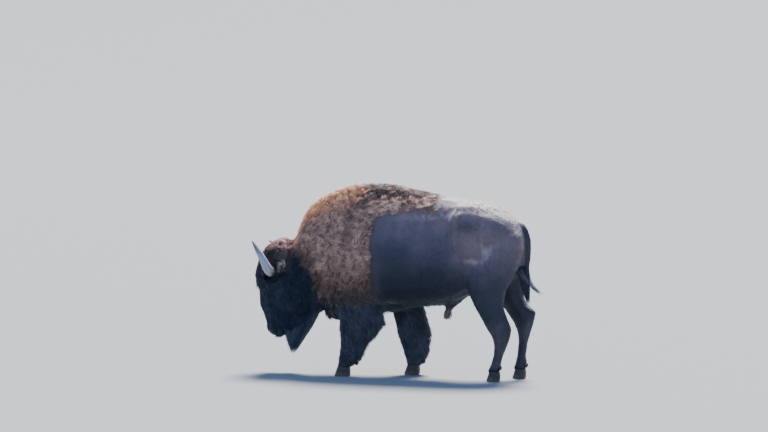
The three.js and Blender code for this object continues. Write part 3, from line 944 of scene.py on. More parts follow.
# %% Mixing and mottling
def toward(colour, mask, other):
    """Mixes an array of colours towards one colour, or another array, by a mask."""
    return colour + mask[:, None] * (np.array(other) - colour)


def plain(colour, count):
    """The same colour for each of so many points."""
    return np.tile(np.array(colour), (count, 1))


def broad_lumps(points):
    return noise(points, 0.11, 11)


def fine_lumps(points):
    return noise(points, 0.03, 12)


def hair_streaks(points):
    return noise(points * np.array([1.0, 1.0, 0.4]), 0.022, 14)


# %% Colours of the short coat
def short_tones(points):
    """Painted shade darkens it below and a painted highlight makes the back pale, with ribs and
    mottling.
    """
    x, z = points[:, 0], points[:, 2]
    mottle, fine = broad_lumps(points), fine_lumps(points)
    height = z + 0.05 * mottle + THIGH_LIFT * step(0.45, 0.70, x) * step(1.45, 1.25, z)
    colour = np.stack([np.interp(height, SHORT_HEIGHTS, tones) for tones in zip(*SHORT)], axis=1)
    ribs = noise(points * np.array([1.0, 0.3, 0.15]), 0.035, 18)
    colour = colour * (1.0 + 0.14 * ribs + 0.10 * fine + 0.08 * mottle)[:, None]
    above = z - np.interp(x, BACK_X, BACK_Z) + 0.03 * mottle + 0.015 * fine
    # painted highlight: the back is pale above its line
    return toward(colour, step(0.0, 0.075, above) * step(0.24, 0.40, x), BACK_PAINTED_HIGHLIGHT)


def thigh_patch(points):
    """How pale the patch of hair on the thigh is."""
    patch = np.maximum(mound(points, *PATCH_HIGH), mound(points, *PATCH_LOW))
    hairs = noise(points * np.array([1.0, 1.0, 0.5]), 0.011, 17)
    streaks, fine = hair_streaks(points), fine_lumps(points)
    uneven = (1.6 * patch + 0.6 * streaks + 0.4 * fine + 0.7 * hairs - 0.45).clip(0, 1)
    return 0.85 * uneven * patch


def short_colours(points):
    """The short coat with its marks, down to the hind feet."""
    x, z = points[:, 0], points[:, 2]
    colour = short_tones(points)
    for (place, reach), strength in SHADE_AND_SMUDGE_MARKS:
        colour = toward(colour, strength * mound(points, place, reach), NIGHT)
    colour = toward(colour, thigh_patch(points), PALE)
    # painted highlight along the front edge of the hip bone
    colour = toward(colour, ridge(points, *HIP_RIDGE, 0.011), HIP_PAINTED_HIGHLIGHT)
    colour = toward(colour, mound(points, *SHEATH_END), SHEATH_HAIR)
    colour = toward(colour, step(0.95, 0.70, z) * step(0.55, 0.75, x), LEG)
    # the shins are paler in patches
    shins = band(0.14, 0.50, 0.08, z) * step(0.55, 0.75, x)
    pale_shins = (0.35 + 0.5 * broad_lumps(points) + 0.4 * hair_streaks(points)).clip(0, 1)
    return toward(colour, shins * pale_shins, CANNON)


# %% Colours of the wool
def wool_shade(points):
    """Painted shade in the hollows between the wool's drawn-out curls and along the shoulder's furrow.
    """
    drawn = noise(points * np.array([1.0, 1.0, 0.35]), 0.05, 13)
    broad = noise(points * np.array([1.0, 0.3, 0.2]), 0.11, 15)
    broad = broad + ridge(points, *SHOULDER_FURROW, 0.045)
    shade = 0.36 + 0.2 * broad_lumps(points) + 0.35 * drawn + 0.4 * broad
    return shade.clip(0, 1) * 0.85


def wool_colours(points):
    """Brown wool: dark on top, golden along the front of the hump, partly bleached and partly painted
    rim light, black at the throat.
    """
    x, z, out = points[:, 0], points[:, 2], side_of(points)
    mottle, fine = broad_lumps(points), fine_lumps(points)
    wool = toward(plain(WOOL, len(points)), wool_shade(points), WOOL_SHADE)
    edge = step(0.05, -0.01, cape_inset(points)) * step(1.50, 1.42, z)
    wool = toward(wool, 0.45 * edge, WOOL_SHADE)
    top = step(1.55, 1.64, z + 0.03 * mottle) * step(-0.52, -0.30, x)
    wool = toward(wool, 0.92 * top, WOOL_TOP)
    # golden front of the hump: bleached wool and painted rim light
    crest = step(0.19, 0.08, out) * step(1.12, 1.32, z) * step(-0.25, -0.45, x)
    wool = toward(wool, 0.95 * crest, WOOL_GOLD_AND_RIM_LIGHT)
    # painted highlight on the curls along the cape's edge
    wool = toward(wool, curl_band(points) * (0.75 + 1.8 * fine).clip(0, 1), WOOL_CURL_HIGHLIGHT)
    low = z + 0.08 * mottle
    dusk = np.maximum(0.9 * neck_shade(points), 0.85 * step(1.14, 0.80, low))
    wool = toward(wool, dusk, WOOL_DARK)
    black = np.maximum(0.9 * step(0.86, 0.64, low), 0.96 * dark_neck(points))
    return toward(wool, black, NIGHT)


# %% Colours of the head
def head_colours(points):
    """Almost black, with paler mottling, a brown-black forelock and a brown crown."""
    x, z = points[:, 0], points[:, 2]
    mottle, fine = broad_lumps(points), fine_lumps(points)
    head = plain(NIGHT, len(points))
    head = toward(head, 0.8 * (0.1 + 1.1 * mottle + 0.6 * fine).clip(0, 1), FACE_PALE)
    head = toward(head, step(FACE_X + 0.20, FACE_X + 0.10, x) * step(0.82, 0.92, z), FORELOCK)
    return toward(head, step(1.12, 1.21, z + 0.04 * mottle), CROWN)


# %% The whole pelt
def tail_mask(points):
    """1 on the tail, which hangs close behind the haunches."""
    z = points[:, 2]
    behind = points[:, 0] - np.interp(z, TAIL_HEIGHTS, TAIL_EDGE)
    return step(-0.006, 0.004, behind) * step(1.47, 1.40, z) * step(0.060, 0.040, side_of(points))


def pelt(points):
    """The coat's colour at these points of the body."""
    colour = short_colours(points)
    blend = step(-0.16, -0.01, cape_inset(points)) * step(1.52, 1.42, points[:, 2])
    colour = toward(colour, 0.5 * blend, EDGE_BROWN)
    colour = toward(colour, cape_mask(points), wool_colours(points))
    colour = toward(colour, foreleg_mask(points) * 0.97, FORELEG)
    colour = toward(colour, head_mask(points), head_colours(points))
    colour = toward(colour, muzzle_mask(points), BARE)
    return toward(colour, tail_mask(points) * 0.85, LEG)


SAMPLES = {"hump": (-0.50, -0.20, 1.60), "flank": (0.30, -0.35, 1.20), "cheek": (-1.10, -0.15, 0.60)}
for name, place in SAMPLES.items():
    print("pelt on the", name, pelt(np.array([place]))[0].round(3))

# %% Colour kept on the skin
UNDERCOAT_SHADE = 0.42  # the skin is darker than the tips, as it lies in their shadow


def paint(mesh, colours):
    """Stores a colour at each point of a mesh."""
    layer = mesh.attributes.new("pelt", "FLOAT_COLOR", "POINT")
    layer.data.foreach_set("color", np.c_[colours, np.ones(len(colours))].ravel())


points = read_points(skin)
bushy = np.maximum(cape_mask(points), np.maximum(head_mask(points), foreleg_mask(points)))
shade = 1.0 - (1.0 - UNDERCOAT_SHADE) * bushy
skin_colours = pelt(points) * shade[:, None]
paint(skin.data, skin_colours)
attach(skin, "root")
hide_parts(*FLESH, "ear_left", "ear_right")
layer = skin.data.attributes.new("bare", "FLOAT", "POINT")
layer.data.foreach_set("value", muzzle_mask(points))
print("skin's mean colour", skin_colours.mean(axis=0).round(3))

# %% [markdown]
# ## Finish of the skin
# Between the locks the skin shows short hair: fine gaps of painted shade drawn out along the lie,
# and a sheen. The muzzle is bare and pebbled. Both are one material that a mask divides, as the
# two run into each other without an edge on the animal.

# %% Skin finish
SKY_GLOSS = (0.62, 0.78, 1.0, 1)  # the gloss of smooth hair is tinted pale blue, a painted reflection of the sky
GAP_SHADE = (0.42, 0.42, 0.46, 1)
kit = Kit("hide_and_short_hair")
bare_skin = kit.attribute("bare")
strokes = kit.noise(1.0, detail=3.0, vector=kit.stretched((55.0, 420.0, 560.0), (0.0, 0.6, 0.0)))
pebbles = kit.node("ShaderNodeTexVoronoi", None, {"Vector": kit.place(), "Scale": 340.0})
# painted shade in the gaps between the short hairs
gap_shade = ((strokes * 3.0 - 1.3) * (1.0 - bare_skin)).clamp()
tone = kit.mix(gap_shade, kit.attribute("pelt", "Color"), GAP_SHADE, "MULTIPLY")
height = strokes * (1.0 - bare_skin) + pebbles * bare_skin
skin.data.materials.append(
    kit.finish(
        Base_Color=tone,
        Roughness=(0.44 - bare_skin * 0.06).clamp(),
        Normal=kit.bump(height, 0.7, 0.003),
        Specular_IOR_Level=0.45,
        Specular_Tint=SKY_GLOSS,
        Sheen_Weight=0.12,
        Sheen_Roughness=0.35,
        # the sheen is tinted blue too, a painted reflection of the sky
        Sheen_Tint=(0.30, 0.55, 1.0, 1),
    )
)
print("skin painted:", skin.data.materials[0].name)

# %% [markdown]
# ## How a lock of hair is built
# A lock is a thin, closed, curved spike: rings of three points along a path, a point at the tip
# and one face under the root. Three sides are the fewest that look round and stay closed. All
# locks of a piece are worked out at once as arrays, because there are some 100,000 of them. The
# path starts along the lie of the coat, tilted off the skin by its lift, and turns as it goes.

# %% Roots on the skin
class Ground:
    """The skin as triangles, from which roots are drawn."""

    def __init__(self, piece):
        mesh = piece.data
        mesh.calc_loop_triangles()
        count = len(mesh.loop_triangles)
        self.corners = np.empty(count * 3, dtype=np.int64)
        mesh.loop_triangles.foreach_get("vertices", self.corners)
        self.corners = self.corners.reshape(-1, 3)
        loops = np.empty(count * 3, dtype=np.int64)
        mesh.loop_triangles.foreach_get("loops", loops)
        uv = np.empty(len(mesh.loops) * 2)
        mesh.uv_layers[MAP_NAME].data.foreach_get("uv", uv)
        self.uv = uv.reshape(-1, 2)[loops.reshape(-1, 3)]
        self.points = read_points(piece)[self.corners]
        self.normals = read_normals(piece)[self.corners]
        edge_a = self.points[:, 1] - self.points[:, 0]
        edge_b = self.points[:, 2] - self.points[:, 0]
        self.areas = np.linalg.norm(np.cross(edge_a, edge_b), axis=1) / 2
        self.middles = self.points.mean(axis=1)

    def roots(self, mask, per_square_metre):
        """Random roots where the mask is up: their points, normals and places on the map."""
        weight = self.areas * mask(self.middles)
        count = int(per_square_metre * weight.sum())
        chosen = rng.choice(len(weight), size=count, p=weight / weight.sum())
        share = rng.random((count, 2))
        over = share.sum(axis=1) > 1.0
        share[over] = 1.0 - share[over]
        shares = np.c_[1.0 - share.sum(axis=1), share][:, :, None]
        return (
            (self.points[chosen] * shares).sum(axis=1),
            unit((self.normals[chosen] * shares).sum(axis=1)),
            (self.uv[chosen] * shares).sum(axis=1),
        )


ground = Ground(skin)
print("skin area:", round(float(ground.areas.sum()), 2), "square metres")

# %% Room up to the outline
def solid_tree(names):
    """Solid nodes as one tree that rays can be cast at."""
    corners, faces = [], []
    for name in names:
        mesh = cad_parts[name].data
        first = len(corners)
        corners += [v.co.copy() for v in mesh.vertices]
        faces += [[first + i for i in f.vertices] for f in mesh.polygons]
    return BVHTree.FromPolygons(corners, faces)


WALL_GAP = 0.0015  # neighbouring solids stand closer than this
PAST_WALL = 0.00005  # a ray that went through a wall starts again this far behind it
ENOUGH_ROOM = 0.2


def room_above(tree, starts, ways):
    """How far each point lies below the outline, along its way; 0 where it is outside already."""
    found = np.zeros(len(starts))
    for index, (start, way) in enumerate(zip(starts, ways)):
        ahead = Vector(way)
        hit = tree.ray_cast(Vector(start), ahead)
        while hit[0] is not None and hit[1].dot(ahead) > 0 and found[index] < ENOUGH_ROOM:
            found[index] += hit[3]
            gap = tree.ray_cast(hit[0] + ahead * PAST_WALL, ahead, WALL_GAP)
            if gap[0] is None:
                break
            found[index] += gap[3]
            hit = tree.ray_cast(gap[0] + ahead * PAST_WALL, ahead)
    return found


outline_solids = [*FLESH, "beard", "tail_tuft"]
outline = solid_tree(outline_solids)
print("outline from", len(outline_solids), "solids")


# %% The lie of the coat
def lie_field(points):
    """Which way the hair points before it is laid along the skin."""
    x, z = points[:, 0], points[:, 2]
    sign = np.sign(points[:, 1])
    out = side_of(points)
    count = len(points)
    way = np.tile(np.array([0.80, 0.0, -0.55]), (count, 1))

    def turn(mask, back, outward, up):
        nonlocal way
        parts = (back, outward * sign, up)
        other = np.stack([np.broadcast_to(part, count) for part in parts], axis=1)
        way = way + mask[:, None] * (other - way)

    cape, mop = cape_mask(points), mop_mask(points)
    turn(step(1.45, 1.62, z), 1.0, 0.35, -0.2)  # along the back
    turn(step(0.75, 1.05, x), 0.35, 0.05, -0.95)  # down the haunches
    turn(step(0.80, 0.62, z) * step(0.6, 0.7, x), 0.12, 0.0, -1.0)  # down the hind legs
    turn(cape, 0.42, 0.15, -0.88)
    turn(cape * step(1.60, 1.74, z), 0.5, 0.7, -0.2)  # over both sides of the hump
    turn(foreleg_mask(points), 0.45, 0.05, -0.95)
    turn(step(0.16, 0.13, z), 0.0, 0.0, -1.0)  # down over the hooves
    turn(head_mask(points), 0.25, 0.08, -0.95)
    turn(mop * step(1.1, 1.2, z), -0.65, 0.45, 0.10)  # the crown falls forwards
    turn(mop * step(1.15, 1.0, z) * step(-1.20, -1.27, x), 0.05, 0.25, -1.0)  # the forelock
    turn(ear_mask(points), 0.15, 1.0, -0.15)
    turn(step(1.235, 1.25, x) * step(1.45, 1.3, z) * (out < 0.06), 0.05, 0.0, -1.0)  # the tail
    return way


# %% Locks from roots
MAP_PATCH = 0.0030  # width of the patch that a lock's root takes on the map
WIDTH_AT_ROOT, WIDTH_GAIN, TIP_SHAPE = 0.75, 0.45, 2.2  # a lock swells a little, then tapers


def lock_paths(base, normal, way, length, lift, droop, swirl, rings, sink):
    """Points along each lock, from just under the skin to the tip."""
    tangent = unit(way - normal * np.sum(way * normal, axis=1, keepdims=True))
    side = np.cross(normal, tangent)
    here = base - normal * sink
    path = [here]
    for k in range(rings):
        t = (k + 0.5) / rings
        up, turned = lift * (1.0 - droop * t), swirl * t
        ahead = np.cos(turned)[:, None] * tangent + np.sin(turned)[:, None] * side
        heading = np.cos(up)[:, None] * ahead + np.sin(up)[:, None] * normal
        here = here + heading * (length / rings)[:, None]
        path.append(here)
    return np.stack(path, axis=1)


def hanging_paths(base, bend, tip, rings):
    """Points along a curve from the root past a bend to the tip."""
    path = []
    for k in range(rings + 1):
        t = k / rings
        path.append((1 - t) ** 2 * base + 2 * t * (1 - t) * bend + t**2 * tip)
    return np.stack(path, axis=1)


# %% Spikes along the paths
def build_spikes(name, path, normal, width, uv, flat=0.6):
    """One mesh of closed, pointed, three-sided spikes along these paths."""
    path = np.clip(path, LOW + PATH_INSET, HIGH - PATH_INSET)
    rings = path.shape[1] - 1
    corners = np.array([0.5, 0.5 + 2 / 3, 0.5 + 4 / 3]) * math.pi
    rows, places = [], []
    for k in range(rings):
        t = k / rings
        heading = unit(path[:, k + 1] - path[:, max(k - 1, 0)])
        across = unit(np.cross(normal, heading))
        over = np.cross(heading, across)
        half = width / 2 * (WIDTH_AT_ROOT + WIDTH_GAIN * t) * (1.0 - t**TIP_SHAPE)
        for corner in corners:
            away = across * (half * math.cos(corner))[:, None]
            rows.append(path[:, k] + away + over * (half * flat * math.sin(corner))[:, None])
            reach = MAP_PATCH / 2 * (1.0 - t)
            places.append(uv + reach * np.array([math.cos(corner), math.sin(corner)]))
    rows.append(path[:, rings])
    places.append(uv)
    rows = np.clip(np.stack(rows, axis=1), LOW + HAIR_INSET, HIGH - HAIR_INSET)
    return assemble(name, rows, np.stack(places, axis=1), rings)


# %% Spikes as one mesh
def faces_of(rings):
    """How many triangles a spike with so many rings has."""
    return 6 * rings - 2


def lock_faces(rings):
    """Triangles of one spike; its points run ring by ring, with the tip last."""
    tip = rings * 3
    faces = [(2, 1, 0)]
    for k in range(rings):
        for i in range(3):
            a, b = k * 3 + i, k * 3 + (i + 1) % 3
            if k == rings - 1:
                faces.append((a, b, tip))
            else:
                faces += [(a, b, b + 3), (a, b + 3, a + 3)]
    return np.array(faces)


def assemble(name, points, uvs, rings):
    """Joins all spikes of a piece into one mesh with its map."""
    count, each, _ = points.shape
    faces = lock_faces(rings)
    corners = (faces[None] + (np.arange(count) * each)[:, None, None]).reshape(-1)
    mesh = bpy.data.meshes.new(name)
    mesh.vertices.add(count * each)
    mesh.vertices.foreach_set("co", points.ravel())
    mesh.loops.add(len(corners))
    mesh.loops.foreach_set("vertex_index", corners.astype(np.int32))
    mesh.polygons.add(len(corners) // 3)
    mesh.polygons.foreach_set("loop_start", np.arange(0, len(corners), 3, dtype=np.int32))
    layer = mesh.uv_layers.new(name=MAP_NAME)
    layer.data.foreach_set("uv", uvs.reshape(-1, 2)[corners].ravel())
    mesh.update(calc_edges=True)
    mesh.shade_smooth()
    piece = bpy.data.objects.new(name, mesh)
    bpy.context.scene.collection.objects.link(piece)
    return piece


print("a lock with 3 rings has", len(lock_faces(3)), "triangles")

# %% [markdown]
# ## Finish of the hair
# Wool scatters light inside and glows where the lamp stands behind it. Black guard hair is
# smooth, and its gloss is tinted blue, a painted reflection of the sky. The short coat's gloss is
# tinted pale blue the same way, and along the back, whose colour is a painted highlight, the
# lamp behind the animal makes it glare almost white. All three take their colour from the locks.

# %% Hair paints
MIDDLE_GREY = (0.5, 0.5, 0.5, 1)
GLOW_REACH = (0.012, 0.008, 0.006)
COOL_GLOSS = (0.30, 0.55, 1.0, 1)  # the gloss and sheen of black hair are tinted blue, a painted reflection of the sky
WARM_SHEEN = (1.0, 0.82, 0.66, 1)
WHITE = (1, 1, 1, 1)


def hair_paint(name, roughness, sheen, sheen_tint, gloss, gloss_tint=WHITE, glow=0.0):
    """Paint for one kind of hair; the colour is the one stored on the locks."""
    kit = Kit(name)
    mottle = (kit.noise(260.0) * 0.35).clamp()
    tone = kit.mix(mottle, kit.attribute("pelt", "Color"), MIDDLE_GREY, "OVERLAY")
    return kit.finish(
        Base_Color=tone,
        Roughness=roughness,
        Specular_IOR_Level=gloss,
        Specular_Tint=gloss_tint,
        Sheen_Weight=sheen,
        Sheen_Roughness=0.45,
        Sheen_Tint=sheen_tint,
        Subsurface_Weight=glow,
        Subsurface_Radius=GLOW_REACH,
        Subsurface_Scale=1.0,
    )


WOOL_PAINT = hair_paint("cape_wool", 0.65, 0.30, WARM_SHEEN, gloss=0.25, glow=0.35)
DARK_PAINT = hair_paint("dark_hair", 0.50, 0.12, COOL_GLOSS, gloss=0.6, gloss_tint=COOL_GLOSS)
SHORT_PAINT = hair_paint("short_coat_hair", 0.42, 0.12, COOL_GLOSS, gloss=0.6, gloss_tint=SKY_GLOSS)
print("hair paints:", WOOL_PAINT.name, DARK_PAINT.name, SHORT_PAINT.name)

# %% [markdown]
# ## How a part of the coat is grown
# The hair tools that come with the program make curves, which can't be kept as a solid part.
# So each part of the coat is a mesh of its own kind of lock, some thousands of them. A lock
# takes the skin's colour at its root, a little lighter or darker than the next one, is shaded
# near its root and may be bleached at its tip. Where there is room up to the outline of the
# solid model, wool and long hair are lifted to fill it.

# %% Colours of a coat piece
MOST_TRIANGLES = 195000  # a part with more is divided into pieces
BRIGHTEST = 0.85


def finish_coat(piece, tone, rings, material, bleach=0.0, root_shade=0.6):
    """Paints one coat piece and ties it to the frame."""
    along = np.append(np.repeat(np.arange(rings) / rings, 3), 1.0)
    shade = root_shade + (1.0 - root_shade) * np.minimum(along * 1.6, 1.0)
    gain = 1.0 + bleach * np.maximum(along - 0.3, 0.0)[None, :] * rng.random((len(tone), 1))
    colours = tone[:, None, :] * (shade[None, :] * gain)[:, :, None]
    paint(piece.data, np.clip(colours, 0.0, BRIGHTEST).reshape(-1, 3))
    piece.data.materials.append(material)
    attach(piece, "root")
    return piece


def varied(base, tone, spread):
    """Each lock a little lighter or darker, partly together with its neighbours."""
    shift = 0.6 * noise(base, 0.045, 25) + 0.5 * (rng.random(len(base)) * 2.0 - 1.0)
    return tone * (1.0 + spread * shift)[:, None]


# %% One part of the coat
def lock_lifts(base, normal, lengths, lifts, droops, fill):
    """Lifts that bring a share of the locks up to the outline, where there is room."""
    tall = np.clip(room_above(outline, base, normal) * fill, 0.0, 0.9 * lengths)
    rise = np.arcsin(tall / lengths) / (1.0 - 0.5 * droops)
    return np.clip(rise, lifts, math.radians(80))


def grow(
    name, mask, density, length, width, lift, droop, swirl, rings, material,
    scatter=0.2, wave=0.04, sink=0.003, spread=0.25, bleach=0.0, root_shade=0.6,
    fill=None, shorter=None, tone=pelt,
):
    """Grows one part of the coat, in as many pieces as its number of faces asks for.

    length, width, lift, droop, swirl and fill are (least, most). A lock leaves the skin by
    its lift in degrees, loses the share `droop` of it, and turns aside by its swirl. Scatter
    and wave are the strength and size of the lie's disorder, and fill is the share of the room
    up to the outline that the locks take."""
    base, normal, uv = ground.roots(mask, density)
    count = len(base)
    clump = (noise(base, 0.035, 21) + 1.0) / 2.0

    def between(limits):
        return limits[0] + (limits[1] - limits[0]) * (0.5 * clump + 0.5 * rng.random(count))

    lengths, widths = between(length), between(width)
    if shorter:
        factor = shorter(base)
        lengths, widths = lengths * factor, widths * np.sqrt(factor)
    swirls = between(swirl) * np.sign(noise(base, 0.03, 22) + 0.5 * (rng.random(count) - 0.5))
    stray = np.stack([noise(base, wave, 31 + k) for k in range(3)], axis=1)
    way = lie_field(base) + scatter * stray
    lifts, droops = np.radians(between(lift)), between(droop)
    if fill:
        lifts = lock_lifts(base, normal, lengths, lifts, droops, between(fill))
    path = lock_paths(base, normal, way, lengths, lifts, droops, swirls, rings, sink)
    tones = varied(base, tone(base), spread)
    share = max(1, math.ceil(count * faces_of(rings) / MOST_TRIANGLES))
    order = np.argsort(base[:, 0], kind="stable")
    for number, part in enumerate(np.array_split(order, share)):
        label = name if share == 1 else f"{name}_{number + 1}"
        piece = build_spikes(label, path[part], normal[part], widths[part], uv[part])
        finish_coat(piece, tones[part], rings, material, bleach, root_shade)
    print(name, count, "locks in", share, "pieces,", count * faces_of(rings), "triangles")


# %% [markdown]
# ## The cape
# The wool of hump and shoulders is matted into curls that turn aside as they hang. Its upper
# edge carries an arch of curls that stand up, painted pale as a highlight, and the neck's wool
# is longer and black.

# %% Cape wool
def cape_wool_mask(points):
    inside = step(-0.036, 0.002, cape_inset(points))
    return inside * (1.0 - head_mask(points)) * (foreleg_mask(points) < 0.5)


def edge_length(points):
    """Wool is shorter where it fades into the short coat, most of all on the back."""
    inset = cape_inset(points)
    back = step(0.06, 0.0, inset) * step(1.52, 1.58, points[:, 2])
    return 1.0 - 0.45 * np.maximum(back, 0.9 * step(0.012, -0.02, inset))


grow(
    "cape_wool", lambda points: cape_wool_mask(points) * (dark_neck(points) < 0.5), density=13000,
    length=(0.042, 0.066), width=(0.0042, 0.0085), lift=(18, 36), droop=(0.6, 1.0),
    swirl=(0.8, 2.2), rings=3, material=WOOL_PAINT, scatter=0.75, wave=0.055,
    spread=0.8, bleach=0.9, root_shade=0.3, fill=(0.55, 1.0), shorter=edge_length,
)
grow(
    "curl_fringe", lambda points: 1.0 * (curl_band(points) > 0.3), density=8000,
    length=(0.045, 0.070), width=(0.005, 0.009), lift=(40, 65), droop=(0.9, 1.5),
    swirl=(1.0, 2.6), rings=3, material=WOOL_PAINT, scatter=0.9, wave=0.04,
    spread=0.8, bleach=1.0, root_shade=0.3,
)
grow(
    "neck_wool", lambda points: cape_wool_mask(points) * (dark_neck(points) >= 0.5), density=12400,
    length=(0.050, 0.075), width=(0.005, 0.010), lift=(14, 30), droop=(0.6, 1.0),
    swirl=(0.4, 1.4), rings=3, material=DARK_PAINT, scatter=0.5, wave=0.055,
    spread=0.35, fill=(0.5, 1.0),
)

# %% [markdown]
# ## The head
# The crown is a mop of wool between the horns that falls forwards into the forelock. Cheeks
# carry shaggy hair, and the front of the face is short-haired down to the bare muzzle. The
# lids stay free, or the eye would drown in hair.

# %% Crown and forelock
def crown_mask(points):
    return mop_mask(points) * step(0.96, 1.02, points[:, 2])


def forelock_mask(points):
    return mop_mask(points) * step(1.06, 0.98, points[:, 2]) * (points[:, 2] > 0.845)


grow(
    "crown_wool", crown_mask, density=17000, length=(0.050, 0.080), width=(0.005, 0.0095),
    lift=(20, 40), droop=(0.7, 1.2), swirl=(0.6, 2.6), rings=4,
    material=WOOL_PAINT, scatter=0.8, spread=0.4, bleach=0.8, fill=(0.6, 1.0),
)
grow(
    "forelock", forelock_mask, density=17000, length=(0.055, 0.088), width=(0.005, 0.009),
    lift=(3, 15), droop=(0.9, 1.5), swirl=(0.1, 0.9), rings=4,
    material=DARK_PAINT, scatter=0.35, fill=(0.35, 0.95),
)

# %% Cheeks
def clear_of_eye(points, least):
    return mound(points, EYE_AT, (0.030, 0.2, 0.030)) < least


def cheek_mask(points):
    rest = (1 - mop_mask(points)) * (1 - face_mask(points)) * (1 - muzzle_mask(points))
    return head_mask(points) * rest * clear_of_eye(points, 0.35) * (ear_mask(points) < 0.5)


grow(
    "cheek_hair", cheek_mask, density=14500, length=(0.040, 0.065), width=(0.005, 0.009),
    lift=(12, 30), droop=(0.7, 1.2), swirl=(0.1, 0.8), rings=3,
    material=DARK_PAINT, scatter=0.4, spread=0.6, fill=(0.3, 0.8),
)

# %% Face
grow(
    "face_hair",
    lambda points: face_mask(points) * (1 - muzzle_mask(points)) * clear_of_eye(points, 0.45),
    density=44000, length=(0.012, 0.022), width=(0.0025, 0.0045), lift=(6, 16), droop=(0.6, 1.0),
    swirl=(0.0, 0.4), rings=2, material=DARK_PAINT, sink=0.001,
)

# %% [markdown]
# ## Legs and ears
# The forelegs wear long hair like trousers, longest behind, which thins out above the hoof.
# Over every hoof hangs a short fringe, which also hides where horn and skin meet. The ears
# are furred so densely that their skin isn't seen.

# %% Forelegs
grow(
    "foreleg_hair",
    lambda points: (foreleg_mask(points) > 0.5) * (points[:, 2] > 0.115),
    density=10100, length=(0.055, 0.110), width=(0.005, 0.010), lift=(10, 24), droop=(0.7, 1.1),
    swirl=(0.0, 0.5), rings=4, material=DARK_PAINT, scatter=0.35, spread=0.7,
    root_shade=0.3, fill=(0.4, 1.0),
    shorter=lambda points: 0.45 + 0.55 * step(0.12, 0.30, points[:, 2]),
)

# %% Hair over the hooves
grow(
    "coronet_hair", lambda points: 1.0 * (points[:, 2] < 0.125), density=50000,
    length=(0.018, 0.034), width=(0.002, 0.004), lift=(2, 9), droop=(0.6, 1.4), swirl=(0.0, 0.4),
    rings=2, material=DARK_PAINT, scatter=0.25, sink=0.001,
)

# %% Ears
grow(
    "ear_hair", lambda points: ear_mask(points) > 0.5, density=26000, length=(0.014, 0.026),
    width=(0.0025, 0.0045), lift=(5, 18), droop=(0.4, 0.9), swirl=(0.0, 0.6), rings=3,
    material=DARK_PAINT, sink=0.001, spread=0.8, bleach=0.9,
    tone=lambda points: plain(EAR_TUFT, len(points)),
)

# %% [markdown]
# ## The short coat
# Belly, flanks, back, haunches and hind legs have hair of two or three centimetres that lies
# close. Locks as thin as that would run into millions, so the skin's own finish stands for
# most of it, and flat, sparse locks break up the surface and its outline.

# %% Short coat
def short_mask(points):
    bushy = (cape_inset(points) > 0.004) | (head_mask(points) > 0.5) | (foreleg_mask(points) > 0.5)
    return 1.0 * ~bushy


grow(
    "short_coat", short_mask, density=7250, length=(0.018, 0.032), width=(0.0024, 0.0042),
    lift=(2, 6), droop=(0.4, 0.9), swirl=(0.0, 0.25), rings=2,
    material=SHORT_PAINT, scatter=0.12, sink=0.0006, spread=0.10, root_shade=0.97,
)

# %% [markdown]
# ## Hair that hangs free
# Beard, chin, tail switch, sheath tuft and the collar round each horn are hair that follows its
# own weight, or its neighbours, more than the skin. Each strand is a curve from its root, past
# a bend, to a tip that is chosen inside the solid model, so the tuft fills the solid's outline.

# %% Hanging hair
HANG_SINK = 0.003


def hang(name, roots, bend, tip, width, rings, tone, slot="dark_hair", root_shade=0.8):
    """One piece of hanging hair; the sheath's takes the short coat's paint."""
    base, normal, uv = roots
    path = hanging_paths(base - normal * HANG_SINK, bend, tip, rings)
    piece = build_spikes(name, path, normal, width, uv)
    material = DARK_PAINT if slot == "dark_hair" else SHORT_PAINT
    finish_coat(piece, tone, rings, material, root_shade=root_shade)
    print(name, len(base), "strands,", len(base) * faces_of(rings), "triangles")
    return piece


def jitter(count, sizes):
    """Random shifts, up to each size both ways."""
    return (rng.random((count, 3)) * 2.0 - 1.0) * np.array(sizes)


def widths_from(count, least, more):
    return least + more * rng.random(count)


# %% Slices of a solid
def slices_of(names, heights):
    """Front, back and half width of some solid nodes together at each of these heights."""
    ends = []
    for name in names:
        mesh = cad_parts[name].data
        points = np.array([v.co for v in mesh.vertices])
        ends.append(points[np.array([e.vertices for e in mesh.edges])])
    a, b = np.concatenate(ends).transpose(1, 0, 2)
    found = []
    for z in heights:
        met = (a[:, 2] - z) * (b[:, 2] - z) < 0
        share = ((z - a[met, 2]) / (b[met, 2] - a[met, 2]))[:, None]
        cut = a[met] + share * (b[met] - a[met])
        found.append((cut[:, 0].min(), cut[:, 0].max(), np.abs(cut[:, 1]).max()))
    return np.array(found).T


def fall_inside(heights, shape, share, out, z):
    """A place in a hanging tuft: `share` runs from front to back, `out` from -1 to 1 across."""
    front, back, half = (np.interp(z, heights, row) for row in shape)
    return np.stack([front + share * (back - front), out * half, z], axis=1)


# %% Shape of the beard
BEARD_LOW, BEARD_HIGH = (np.array(corner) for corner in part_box("beard"))
BEARD_TOP = 0.575  # the throat's lowest hair hangs from here
THROAT = BEARD_HIGH[0] + 0.108  # the beard's hair ends here, behind the jaw
THROAT_HALF = 0.13
CHIN_BARE = 0.030  # the hair starts this far behind the solid beard's front, under the chin
JAW_FRONT = BEARD_LOW[0] + CHIN_BARE
BEARD_HEIGHTS = np.linspace(BEARD_LOW[2] + 0.004, BEARD_TOP, 20)
BEARD_SHAPE = slices_of(["beard", "neck"], BEARD_HEIGHTS)
BEARD_SHAPE[2] = np.minimum(BEARD_SHAPE[2], THROAT_HALF)
BEARD_SHAPE[1] = np.minimum(BEARD_SHAPE[1], THROAT)
BEARD_SHAPE[0] += CHIN_BARE * step(0.20, 0.33, BEARD_HEIGHTS)
print("beard from", round(float(JAW_FRONT), 3), "to", round(float(THROAT), 3))


